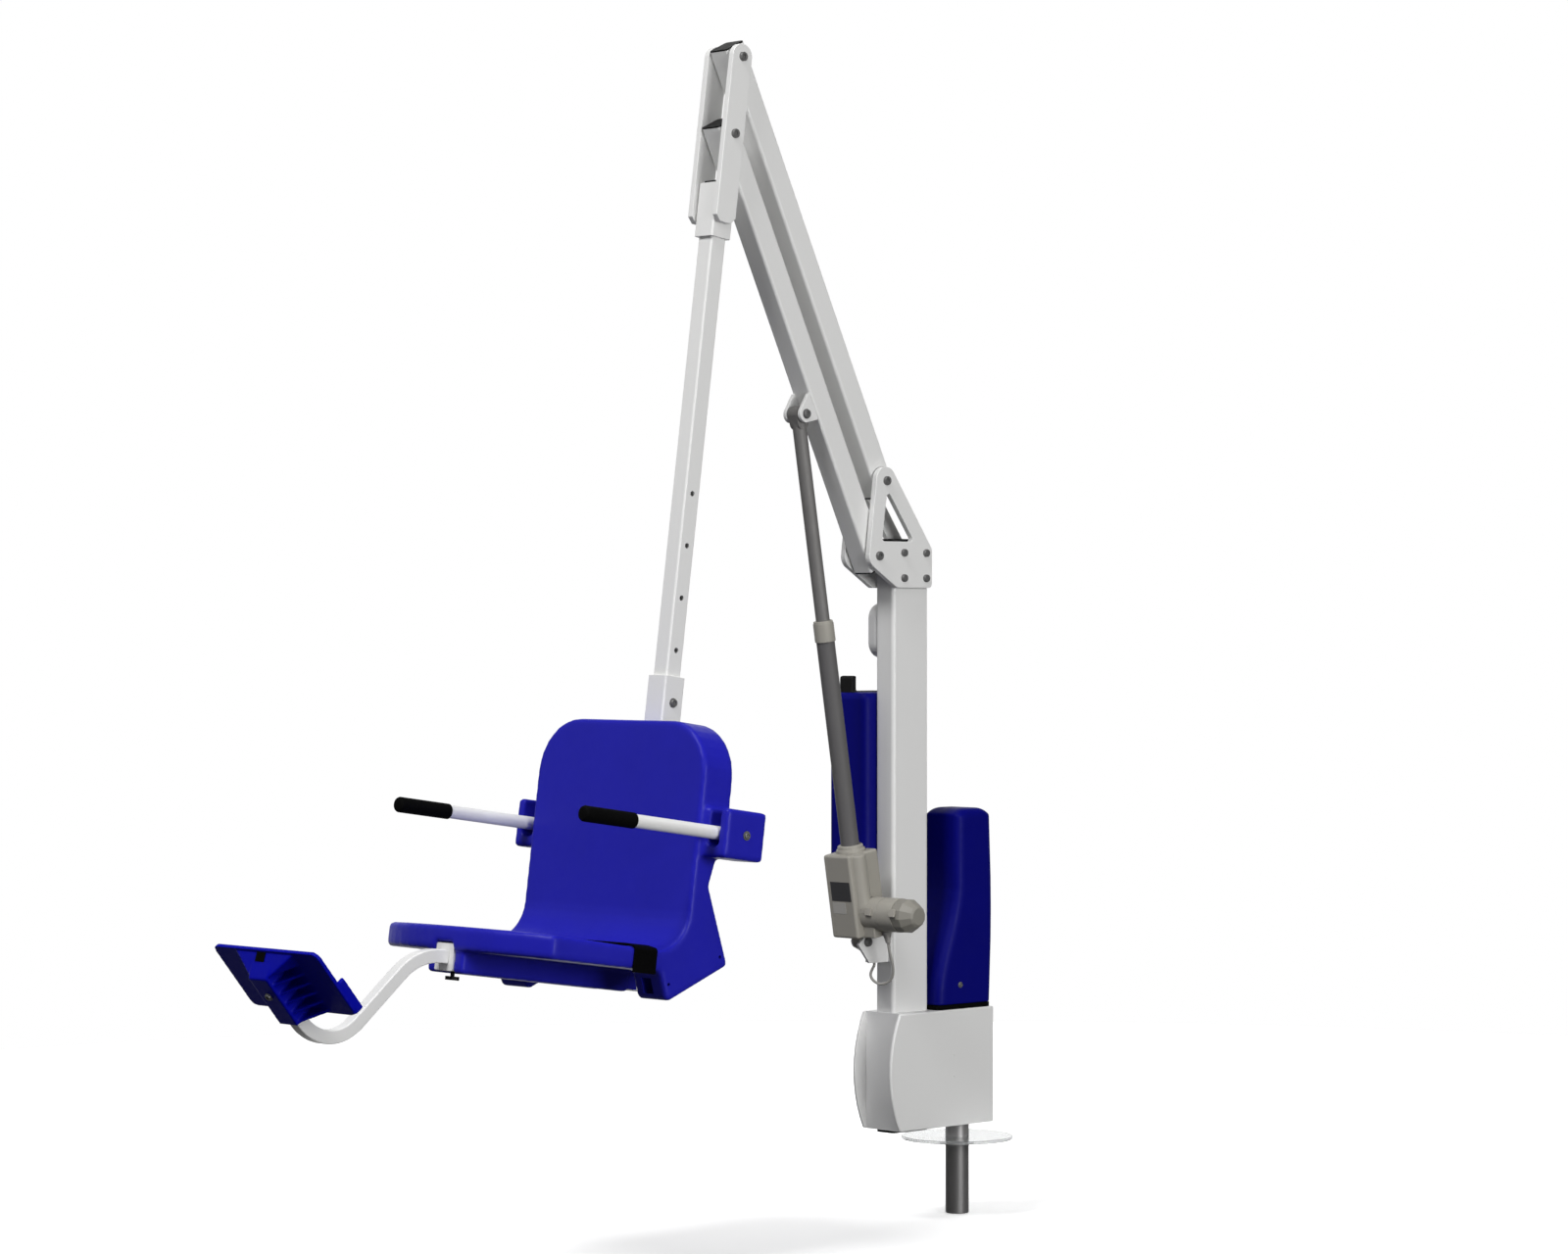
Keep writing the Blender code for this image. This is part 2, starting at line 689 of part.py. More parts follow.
def build_base():
    """Anchor post with its fixed gear, and the clear disc on the deck."""
    post = rod("anchor_post", (0, 0), POST_D / 2, 0.0, POST_LENGTH, "Z", 24)
    dress(post, STEEL, 0.3, 1.0)
    disc = rod("deck_disc", (0, 0), DISC_D / 2, DECK_LEVEL, DECK_LEVEL + DISC_T, "Z", 36,
               POST_D / 2 + CLEAR)
    dress(disc, CLEAR_TINT, 0.1, 0.0)
    gear = prism("post_gear", toothed(GEAR_TEETH, 0.0), GEAR_FOOT, POST_LENGTH, "Z")
    cut(gear, rod("bore", (0, 0), POST_D / 2 + CLEAR, 0.0, 1.0, "Z", 24))
    dress(gear, STEEL, 0.4, 1.0, smooth=False)


def build_housing():
    """Welded base housing with bowed cheeks, and the plain bearing bush inside it."""
    front = MAST_FRONT + CLEAR + HOUSING_WALL
    lip = front + CHEEK_LIP
    height = HOUSING_TOP - HOUSING_BOTTOM
    bow = (height ** 2 / 4 + CHEEK_BULGE ** 2) / (2 * CHEEK_BULGE)
    reach = degrees(asin(height / 2 / bow))
    middle = (HOUSING_TOP + HOUSING_BOTTOM) / 2
    outline = [(-HOUSING_REAR, HOUSING_TOP), (-HOUSING_REAR, HOUSING_BOTTOM)]
    outline += arc((lip + CHEEK_BULGE - bow, middle), bow, -reach, reach, 10)
    housing = prism("base_housing", outline, -HOUSING_HALF, HOUSING_HALF)
    soften(housing, HOUSING_EDGE)
    inside = HOUSING_HALF - CHEEK_WALL
    cavity = block("cavity", (-HOUSING_REAR + HOUSING_WALL, -inside, HOUSING_BOTTOM + HOUSING_WALL),
                   (MAST_FRONT + CLEAR, inside, HOUSING_TOP - HOUSING_WALL))
    under, over = HOUSING_BOTTOM - height, HOUSING_TOP + height
    recess = block("recess", (front, -inside, under), (front + height, inside, over))
    slot = prism("slot", rounded((MAST_X, 0), MAST_DEPTH / 2 + CLEAR, MAST_WIDTH / 2 + CLEAR, MAST_CORNER),
                 under, over, "Z")
    bush_r = POST_D / 2 + CLEAR + BUSH_WALL
    seat = rod("seat", (0, 0), bush_r + CLEAR, under, middle, "Z", 24)
    way = rod("way", (GEAR_CENTRES, 0), SHAFT_D, middle, over, "Z")
    painted(cut(housing, cavity, recess, slot, seat, way))
    flange_top = HOUSING_BOTTOM + HOUSING_WALL + CLEAR + BUSH_FLANGE_T
    bush = rod("slew_bush", (0, 0), bush_r, HOUSING_BOTTOM, GEAR_FOOT - CLEAR, "Z", 24)
    flange_foot = flange_top - BUSH_FLANGE_T
    join(bush, rod("flange", (0, 0), bush_r + BUSH_FLANGE, flange_foot, flange_top, "Z", 24))
    cut(bush, rod("bore", (0, 0), POST_D / 2 + CLEAR, 0.0, 1.0, "Z", 24))
    dress(bush, BRONZE, 0.4, 1.0)


def cover_outline(inset, foot):
    """Side outline of the rear cover: broad at the foot, narrow above, crowned on top, bellied behind."""
    rear, top = -COVER_REAR + inset, COVER_TOP - inset
    neck = COVER_NECK_X - inset
    toe = MAST_REAR - COVER_MAST_GAP - inset
    knee = (toe - COVER_TOE_BACK, COVER_FOOT + COVER_TOE_RISE)
    points = [(rear, foot), (toe, foot), knee]
    sweep = 8
    for i in range(1, sweep + 1):
        t = i / sweep
        share = (1 - COVER_EASE) * t + COVER_EASE * t * t * (3 - 2 * t)
        points.append((knee[0] + (neck - knee[0]) * share, knee[1] + (COVER_NECK_Z - knee[1]) * t))
    crown = [(i / 4, top - COVER_CROWN_DROP * (i / 4) ** 2) for i in range(5)]
    points += [(neck - COVER_CROWN_RUN * (1 - t), z) for t, z in reversed(crown)]
    points += [(rear + COVER_CROWN_RUN * (1 - t), z) for t, z in crown]
    brow = top - COVER_CROWN_DROP
    belly = 6
    for i in range(1, belly + 1):
        t = i / belly
        points.append((rear - COVER_BOW * sin(pi * t), brow + (COVER_FOOT - brow) * t))
    return points


def build_rear_cover():
    """Moulded cover over the turning drive, its gasket, the geared motor and its pinion."""
    below = COVER_FOOT - 3 * COVER_ROUND
    cover = prism("rear_cover", cover_outline(0.0, below), -COVER_HALF, COVER_HALF)
    soften(cover, COVER_ROUND, 3, radians(60))
    inside = COVER_HALF - COVER_WALL
    hollow = prism("hollow", cover_outline(COVER_WALL, below - COVER_WALL), -inside, inside)
    soften(hollow, COVER_ROUND - COVER_WALL, 2, radians(60))
    waste = block("waste", (-1.0, -1.0, below - COVER_ROUND), (1.0, 1.0, COVER_FOOT + CLEAR))
    moulded(cut(cover, hollow, waste))
    rear, front = -COVER_REAR, MAST_REAR - COVER_MAST_GAP
    middle = ((rear + front) / 2, 0)
    half = (front - rear) / 2
    foot = HOUSING_TOP + CLEAR
    hole = rounded(middle, half - GASKET_BAND, COVER_HALF - GASKET_BAND, COVER_ROUND - GASKET_TRIM)
    rim = rounded(middle, half, COVER_HALF, COVER_ROUND)
    gasket = prism("cover_gasket", rim, foot, COVER_FOOT, "Z", hole)
    black_plastic(gasket)
    motor = block("slew_motor", (-CASE_BACK, -CASE_HALF, foot),
                  (GEAR_CENTRES + CASE_AHEAD, CASE_HALF, foot + CASE_H), CASE_EDGE)
    join(motor, rod("drum", (0, 0), DRIVE_D / 2, foot + CASE_H / 2, foot + CASE_H + DRIVE_H, "Z", 20))
    cut(motor, rod("well", (GEAR_CENTRES, 0), SHAFT_D / 2 + CLEAR, 0.0, foot + SHAFT_SEAT + CLEAR, "Z"))
    dress(motor, DARK_STEEL, 0.5, 0.6)
    pinion = prism("drive_pinion", toothed(PINION_TEETH, pi / PINION_TEETH), GEAR_FOOT, POST_LENGTH, "Z")
    join(pinion, rod("shaft", (0, 0), SHAFT_D / 2, GEAR_FOOT - SHAFT_TIP, foot + SHAFT_SEAT, "Z"))
    axis = frame_at("pinion_axis", (GEAR_CENTRES, 0.0, 0.0))
    dress(pinion, STEEL, 0.4, 1.0, axis, smooth=False)


def build_mast():
    """Mast tube with its two caps, and the two pivot plates with their bolts."""
    outline = rounded((MAST_X, 0), MAST_DEPTH / 2, MAST_WIDTH / 2, MAST_CORNER)
    bore = rounded((MAST_X, 0), MAST_DEPTH / 2 - MAST_WALL, MAST_WIDTH / 2 - MAST_WALL,
                   MAST_CORNER - MAST_WALL)
    mast = prism("mast_tube", outline, HOUSING_BOTTOM, MAST_TOP, "Z", bore)
    middle = MAST_X + MAST_BOLT_AHEAD
    columns = (middle - MAST_BOLT_PITCH / 2, middle + MAST_BOLT_PITCH / 2)
    places = [(x, z) for z in MAST_BOLT_ROWS for x in columns]
    far_out = PLATE_OUT + MAST_WIDTH
    for x, z in places:
        cut(mast, rod("hole", (x, z), MAST_BOLT_D / 2 + CLEAR, -far_out, far_out, sides=12))
    painted(mast)
    caps = (("mast_foot_cap", HOUSING_BOTTOM, -1), ("mast_top_cap", MAST_TOP, 1))
    for name, seat, way in caps:
        black_plastic(cap_for(name, MAST_DEPTH / 2, MAST_WIDTH / 2, MAST_CORNER, MAST_WALL,
                              CAP_FLANGE, CAP_PLUG, seat, way, "Z", (MAST_X, 0.0)))
    for name, way in (("mast_plate_near", 1), ("mast_plate_far", -1)):
        painted(mast_plate(name, way, places))
    for i, (x, z) in enumerate(places):
        bare_steel(bolt(f"mast_bolt_{i + 1}", x, z, PLATE_OUT, MAST_BOLT_D, MAST_BOLT_HEAD_D, BOLT_HEAD_T))
    for name, pivot in (("pivot_bolt_mast_lower", MAST_LOWER), ("pivot_bolt_mast_upper", MAST_UPPER)):
        bare_steel(bolt(name, pivot.x, pivot.z, PLATE_OUT, BOLT_D, BOLT_HEAD_D, BOLT_HEAD_T))


def mast_plate(name, way, bolt_places):
    """Pivot plate on one flank of the mast, with its window and its spacer pad."""
    low, high = sorted((way * PLATE_IN, way * PLATE_OUT))
    r = PLATE_FOOT_R
    rear = MAST_REAR + PLATE_REAR_LAP + r
    plate = hull(name, [(MAST_UPPER.x, MAST_UPPER.z, LOBE_UPPER), (MAST_LOWER.x, MAST_LOWER.z, LOBE_LOWER),
                        (rear, PLATE_FOOT_Z + r, r), (rear, PLATE_SHOULDER_Z, r),
                        (MAST_FRONT + PLATE_TOE, PLATE_FOOT_Z + r, r)], low, high)
    pad_low, pad_high = sorted((way * (MAST_WIDTH / 2 + CLEAR), way * (PLATE_IN + PLATE_T / 2)))
    join(plate, block("pad", (MAST_REAR + PLATE_REAR_LAP + PAD_INSET, pad_low, PLATE_FOOT_Z + PAD_INSET),
                      (MAST_FRONT - PAD_INSET / 2, pad_high, MAST_TOP - PAD_INSET / 2)))
    sill = MAST_TOP + WINDOW_R
    window = hull("window", [(MAST_UPPER.x - WINDOW_BACK, MAST_UPPER.z - WINDOW_DROP, WINDOW_R),
                             (MAST_REAR + WINDOW_REAR, sill, WINDOW_R),
                             (MAST_LOWER.x - WINDOW_FRONT, sill, WINDOW_R)],
                  low - PLATE_T, high + PLATE_T, 12)
    cut(plate, window)
    far = PLATE_OUT + PLATE_T
    for x, z in bolt_places:
        cut(plate, rod("hole", (x, z), MAST_BOLT_D / 2 + CLEAR, -far, far, sides=12))
    for pivot in (MAST_LOWER, MAST_UPPER):
        cut(plate, rod("hole", (pivot.x, pivot.z), BOLT_D / 2 + CLEAR, -far, far, sides=12))
    return plate


def build_arm(prefix, pivot):
    """Square lifting arm with cross tubes for its two pivots and a cap in each end."""
    axis = frame_at(prefix + "_axis", pivot, -ARM_RISE)
    start, end = -ARM_TAIL_MAST + ARM_CAP_T, ARM_LENGTH + ARM_TAIL_HEAD - ARM_CAP_T
    half = ARM_SIDE / 2
    middle = (0.0, ARM_ABOVE)
    arm = prism(prefix, rounded(middle, half, half, ARM_CORNER), start, end, "X",
                rounded(middle, half - ARM_WALL, half - ARM_WALL, ARM_CORNER - ARM_WALL))
    reach = PLATE_IN - CLEAR
    for place in (0.0, ARM_LENGTH):
        join(arm, rod("cross", (place, 0.0), PIVOT_TUBE_D / 2, -reach, reach, sides=16))
        cut(arm, rod("bore", (place, 0.0), BOLT_D / 2 + RUN, -ARM_SIDE, ARM_SIDE, sides=12))
    painted(arm, axis)
    for name, seat, way in (("_cap_mast", start, -1), ("_cap_head", end, 1)):
        cap = cap_for(prefix + name, half, half, ARM_CORNER, ARM_WALL, ARM_CAP_T, ARM_CAP_PLUG,
                      seat, way, "X", middle)
        black_plastic(cap, axis)
    return axis


def build_rod_ears(arm_axis):
    """Two ears under the lower arm for the actuator rod, each with its bolt head."""
    underside = ARM_ABOVE - ARM_SIDE / 2 - CLEAR
    pin = (ROD_PIN_ALONG, -ROD_PIN_BELOW)
    foot = underside - PLATE_CORNER
    for name, way in (("rod_ear_near", 1), ("rod_ear_far", -1)):
        low, high = sorted((way * EAR_IN, way * (EAR_IN + EAR_T)))
        ear = hull(name, [(*pin, EAR_R), (ROD_PIN_ALONG - EAR_BEHIND, foot, PLATE_CORNER),
                          (ROD_PIN_ALONG + EAR_AHEAD, foot, PLATE_CORNER)], low, high)
        outer = EAR_IN + EAR_T
        head_low, head_high = sorted((way * (outer - EAR_T / 2), way * (outer + BOLT_HEAD_T)))
        join(ear, rod("head", pin, ACT_PIN_D / 2 + EAR_HEAD_RIM, head_low, head_high, sides=12))
        painted(ear, arm_axis)


def square_tube(name, side, corner, inner_half, low, high):
    """Square tube along the leaning pole's axis."""
    middle = (POLE_F, 0.0)
    inside = rounded(middle, inner_half, inner_half, POLE_CORNER)
    return prism(name, rounded(middle, side / 2, side / 2, corner), low, high, "Z", inside)


def head_plate(name, way):
    """Head plate on one side of the arms, with its spacer pad for the sleeve."""
    low, high = sorted((way * PLATE_IN, way * PLATE_OUT))
    r = PLATE_CORNER
    corners = [(0.0, PIVOT_SPACING, HEAD_LOBE)]
    for sign in (-1, 1):
        corners.append((sign * (HEAD_LOBE - r), -HEAD_FOOT + HEAD_CHAMFER + r, r))
        corners.append((sign * (HEAD_LOBE - HEAD_CHAMFER - r), -HEAD_FOOT + r, r))
    plate = hull(name, corners, low, high)
    pad_low, pad_high = sorted((way * (SLEEVE_SIDE / 2 + CLEAR), way * (PLATE_IN + PLATE_T / 2)))
    join(plate, block("pad", (POLE_F - SLEEVE_SIDE / 3, pad_low, -HEAD_FOOT + HEAD_CHAMFER),
                      (POLE_F + SLEEVE_SIDE / 3, pad_high, -HEAD_SLEEVE_TOP - HEAD_CHAMFER)))
    far = PLATE_OUT + PLATE_T
    for z in (0.0, PIVOT_SPACING):
        cut(plate, rod("hole", (0.0, z), BOLT_D / 2 + CLEAR, -far, far, sides=12))
    return plate


def sleeve_bolt_hole():
    """Cutter for the bolt that pins the lower sleeve to the pole."""
    return rod("hole", (POLE_F, -SLEEVE_BOLT_W), SLEEVE_BOLT_D / 2 + CLEAR, -SLEEVE_SIDE, SLEEVE_SIDE,
               sides=12)


def build_head(axis):
    """Head plates, upper sleeve, seat pole and lower sleeve, all in the leaning frame."""
    for name, way in (("head_plate_near", 1), ("head_plate_far", -1)):
        painted(head_plate(name, way), axis)
    for name, z in (("pivot_bolt_head_lower", 0.0), ("pivot_bolt_head_upper", PIVOT_SPACING)):
        bare_steel(bolt(name, 0.0, z, PLATE_OUT, BOLT_D, BOLT_HEAD_D, BOLT_HEAD_T), axis)
    bore = POLE_SIDE / 2 + CLEAR
    sleeve = square_tube("head_sleeve", SLEEVE_SIDE, SLEEVE_CORNER, bore, -HEAD_SLEEVE_FOOT,
                         -HEAD_SLEEVE_TOP)
    painted(sleeve, axis)
    pole = square_tube("seat_pole", POLE_SIDE, POLE_CORNER, POLE_SIDE / 2 - POLE_WALL, -POLE_FOOT,
                       -POLE_TOP)
    cut(pole, sleeve_bolt_hole())
    for i in range(POLE_HOLES):
        z = -SEAT_SLEEVE_TOP + POLE_HOLE_ABOVE + i * POLE_HOLE_PITCH
        cut(pole, rod("hole", (POLE_F, z), POLE_HOLE_D / 2, -POLE_SIDE, POLE_SIDE, sides=12))
    lower = square_tube("seat_sleeve", SLEEVE_SIDE, SLEEVE_CORNER, bore,
                        -RAIL_W - RAIL_SIDE / 2, -SEAT_SLEEVE_TOP)
    cut(lower, sleeve_bolt_hole())
    for tube in (pole, lower):
        painted(tube, axis)
    bare_steel(bolt("sleeve_bolt", POLE_F, -SLEEVE_BOLT_W, SLEEVE_SIDE / 2, SLEEVE_BOLT_D,
                    SLEEVE_BOLT_D * SMALL_HEAD_RATIO, BOLT_HEAD_T), axis)


def shell_profile():
    """Side outline of the back and side panels, in the leaning frame."""
    points = [(BACK_REAR, -BACK_TOP), (BACK_REAR, -WING_TOP), (WAIST_F, -WAIST_W), (HEEL_F, -HEEL_W),
              (SOLE_REAR_F, -SOLE_W), (SOLE_FRONT_F, -SOLE_W), (FOOT_FRONT_F, -PAN_TOP - PAN_BAND),
              (PAN_ROOT, -PAN_TOP - PAN_BAND), (PAN_ROOT, -PAN_TOP)]
    points += arc((BACK_FRONT + PAN_FILLET, -PAN_TOP + PAN_FILLET), PAN_FILLET, 270, 180, 8)
    return points + [(BACK_FRONT, -BACK_TOP)]


def pan_outline():
    """Plan outline of the seat pan, with its bowed front."""
    bow = (SEAT_HALF ** 2 + PAN_BULGE ** 2) / (2 * PAN_BULGE)
    reach = degrees(asin(SEAT_HALF / bow))
    start = BACK_FRONT + PAN_FILLET
    front = arc((PAN_REACH + PAN_BULGE - bow, 0.0), bow, -reach, reach, 16)
    return [(start, SEAT_HALF), (start, -SEAT_HALF)] + front


def wing(name, way):
    """Moulded fork beside the back that holds an armrest, open to the front and above."""
    root = SEAT_HALF - SHELL_EDGE * 2
    low, high = sorted((way * root, way * WING_OUT))
    body = block(name, (WING_REAR, low, -WING_FOOT), (WING_FRONT, high, -WING_TOP), WING_EDGE)
    slot_low, slot_high = sorted((way * (ARMREST_Y - ARMREST_SLOT), way * (ARMREST_Y + ARMREST_SLOT)))
    return cut(body, block("slot", (WING_REAR + WING_BACK, slot_low, -WING_FOOT + WING_FLOOR),
                           (WING_FRONT + WING_BACK, slot_high, -WING_TOP + WING_FLOOR)))


def build_seat_shell(axis):
    """One-piece moulded seat: back, pan, side panels with feet, keel and armrest forks."""
    shell = prism("seat_shell", shell_profile(), -SEAT_HALF, SEAT_HALF)
    r = BACK_CORNER
    inner = SEAT_HALF - r
    arch = [(SEAT_HALF, -2 * SOLE_W), *arc((inner, -BACK_TOP - r), r, 0, 90, 8),
            *arc((-inner, -BACK_TOP - r), r, 90, 180, 8), (-SEAT_HALF, -2 * SOLE_W)]
    combine(shell, prism("arch", arch, -SEAT_HALF, 2 * SEAT_HALF, "X"), "INTERSECT")
    soften(shell, SHELL_EDGE, 2, radians(50))
    inside = SEAT_HALF - CHEEK_THICK
    pan_foot = -PAN_TOP - PAN_BAND
    rear = HEEL_F - SEAT_HALF
    under = block("under", (rear, -inside, -2 * SOLE_W), (PAN_REACH, inside, pan_foot))
    behind = block("behind", (rear, -inside, -2 * SOLE_W), (WAIST_F, inside, -WAIST_W))
    cut(shell, under, behind)
    pan = prism("pan", pan_outline(), pan_foot, -PAN_TOP, "Z")
    soften(pan, SHELL_EDGE, 2, radians(50))
    keel = block("keel", (KEEL_REAR, -KEEL_HALF, -KEEL_W),
                 (KEEL_FRONT, KEEL_HALF, pan_foot + PAN_BAND / 2), KEEL_EDGE)
    join(shell, pan, keel, wing("wing", 1), wing("wing", -1))
    rail_top = -RAIL_W + RAIL_SIDE / 2 + CLEAR
    rail_half = RAIL_SIDE / 2 + CLEAR
    channel = block("channel", (rear, -rail_half, -2 * SOLE_W), (2 * PAN_REACH, rail_half, rail_top))
    spine = SLEEVE_SIDE / 2 + CLEAR
    groove = block("groove", (rear, -spine, -2 * SOLE_W), (SLEEVE_FRONT + CLEAR, spine, 0.0))
    cut(shell, channel, groove)
    pin_end = ARMREST_Y - ARMREST_SLOT - ARMREST_PIN_IN
    for way in (1, -1):
        low, high = sorted((way * pin_end, way * 2 * WING_OUT))
        cut(shell, rod("hole", (ARMREST_F, -ARMREST_W), ARMREST_PIN_D / 2 + CLEAR, low, high, sides=12))
    moulded(shell, axis)


def build_armrest(side, way, head_axis):
    """Flip-up armrest: straight tube, closed foam grip and the pin that it turns on."""
    axis = frame_at(f"armrest_{side}_axis", (ARMREST_F, way * ARMREST_Y, -ARMREST_W), 0.0, head_axis)
    reach = ARMREST_REACH - ARMREST_F
    tube = rod(f"armrest_tube_{side}", (0.0, 0.0), ARMREST_D / 2, -ARMREST_TAIL,
               reach - GRIP_END - CLEAR, "X", 20, ARMREST_D / 2 - ARMREST_WALL)
    cut(tube, rod("hole", (0.0, 0.0), ARMREST_PIN_D / 2 + RUN, -ARMREST_D, ARMREST_D, sides=12))
    painted(tube, axis)
    grip = rod(f"armrest_grip_{side}", (0.0, 0.0), GRIP_D / 2, reach - GRIP_LEN, reach, "X", 20)
    soften(grip, GRIP_EDGE, 1, radians(60))
    cut(grip, rod("bore", (0.0, 0.0), ARMREST_D / 2 + CLEAR, 0.0, reach - GRIP_END, "X", 20))
    black_plastic(grip, axis)
    pin_low = ARMREST_Y - ARMREST_SLOT - ARMREST_PIN_IN + CLEAR
    low, high = sorted((way * pin_low, way * (WING_OUT - ARMREST_PIN_SHY)))
    pin = rod(f"armrest_pin_{side}", (ARMREST_F, -ARMREST_W), ARMREST_PIN_D / 2, low, high, sides=12)
    bare_steel(pin, head_axis)


def build_belt(axis):
    """Lap belt lying across the rear of the pan and folded down over both its sides."""
    top, out = -PAN_TOP + CLEAR, SEAT_HALF + CLEAR
    foot = -PAN_TOP - BELT_DROP
    skin, crown = out + BELT_T, top + BELT_T
    outline = [(-skin, foot), (-out, foot), (-out, top), (out, top), (out, foot), (skin, foot),
               (skin, crown), (-skin, crown)]
    belt = prism("seat_belt", outline, BELT_F - BELT_W / 2, BELT_F + BELT_W / 2, "X")
    soften(belt, BELT_T / 3, 1, radians(60))
    black_plastic(belt, axis)


def build_rail(axis):
    """Rail under the pan from the lower sleeve to the footrest socket, and the socket's knob."""
    half = RAIL_SIDE / 2
    start = SLEEVE_FRONT + CLEAR
    rail = prism("seat_rail", rounded((0.0, -RAIL_W), half, half, SLEEVE_CORNER), start, RAIL_FRONT, "X")
    hollow = half - RAIL_WALL
    middle = (0.0, -RAIL_W)
    cut(rail, prism("hollow", rounded(middle, hollow, hollow, BORE_CORNER), 0.0,
                    RAIL_FRONT - SOCKET_DEPTH, "X"))
    mouth = FOOT_TUBE / 2 + CLEAR
    cut(rail, prism("mouth", rounded(middle, mouth, mouth, BORE_CORNER), RAIL_FRONT - 2 * SOCKET_DEPTH,
                    RAIL_FRONT + half, "X"))
    knob_f = RAIL_FRONT - KNOB_BACK
    cut(rail, rod("tap", (knob_f, 0.0), KNOB_STEM_D / 2 + CLEAR, -RAIL_W - 2 * half,
                  -RAIL_W - mouth / 2, "Z", 12))
    painted(rail, axis)
    turn = frame_at("knob_axis", (knob_f, 0.0, -RAIL_W), 0.0, axis)
    low = -half - KNOB_DROP
    knob = rod("socket_knob", (0.0, 0.0), KNOB_STEM_D / 2, low + KNOB_T / 2, -mouth - CLEAR, "Z", 12)
    rim = []
    for i in range(KNOB_LOBES * 4):
        swell = KNOB_D / 2 * (1.0 if i % 4 < 2 else KNOB_WAIST)
        way = 2 * pi * i / (KNOB_LOBES * 4)
        rim.append((swell * cos(way), swell * sin(way)))
    join(knob, prism("head", rim, low, low + KNOB_T, "Z"))
    black_plastic(knob, turn)


def foot_corner():
    """Second bend corner of the footrest tube, and the heading of its last leg."""
    drop = -FOOT_BEND_1
    corner = (FOOT_BEND_1_F + FOOT_DROP * cos(drop), -RAIL_W + FOOT_DROP * sin(drop))
    return corner, drop + FOOT_BEND_2


def bend(corner, entry, turn, radius, steps):
    """Stations round a bend whose two legs meet at the corner."""
    reach = radius * tan(abs(turn) / 2)
    side = 1 if turn > 0 else -1
    start = (corner[0] - reach * cos(entry), corner[1] - reach * sin(entry))
    centre = (start[0] - side * radius * sin(entry), start[1] + side * radius * cos(entry))
    stations = []
    for i in range(steps + 1):
        heading = entry + turn * i / steps
        stations.append((centre[0] + side * radius * sin(heading),
                         centre[1] - side * radius * cos(heading), heading))
    return stations


def build_footrest(axis):
    """Bent square tube that slides in the socket, and the ribbed foot plate on its end."""
    slide = frame_at("footrest_axis", (RAIL_FRONT, 0.0, -RAIL_W), 0.0, axis)
    corner, heading = foot_corner()
    stations = [(RAIL_FRONT - FOOT_TUBE_IN, -RAIL_W, 0.0)]
    stations += bend((FOOT_BEND_1_F, -RAIL_W), 0.0, -FOOT_BEND_1, FOOT_BEND_1_R, 5)
    stations += bend(corner, -FOOT_BEND_1, FOOT_BEND_2, FOOT_BEND_2_R, 9)
    stations.append((corner[0] + FOOT_STUB * cos(heading), corner[1] + FOOT_STUB * sin(heading), heading))
    half = FOOT_TUBE / 2
    inside = half - FOOT_TUBE_WALL
    tube = swept("footrest_tube", stations, rounded((0, 0), half, half, FOOT_TUBE_CORNER, 1),
                 rounded((0, 0), inside, inside, FOOT_BORE_CORNER, 1))
    painted(shifted(tube, -RAIL_FRONT, 0.0, RAIL_W), slide)
    plate = foot_plate()
    plate.data.transform(Matrix.Translation((corner[0], 0.0, corner[1])) @ Matrix.Rotation(-heading, 4, "Y"))
    moulded(shifted(plate, -RAIL_FRONT, 0.0, RAIL_W), slide)


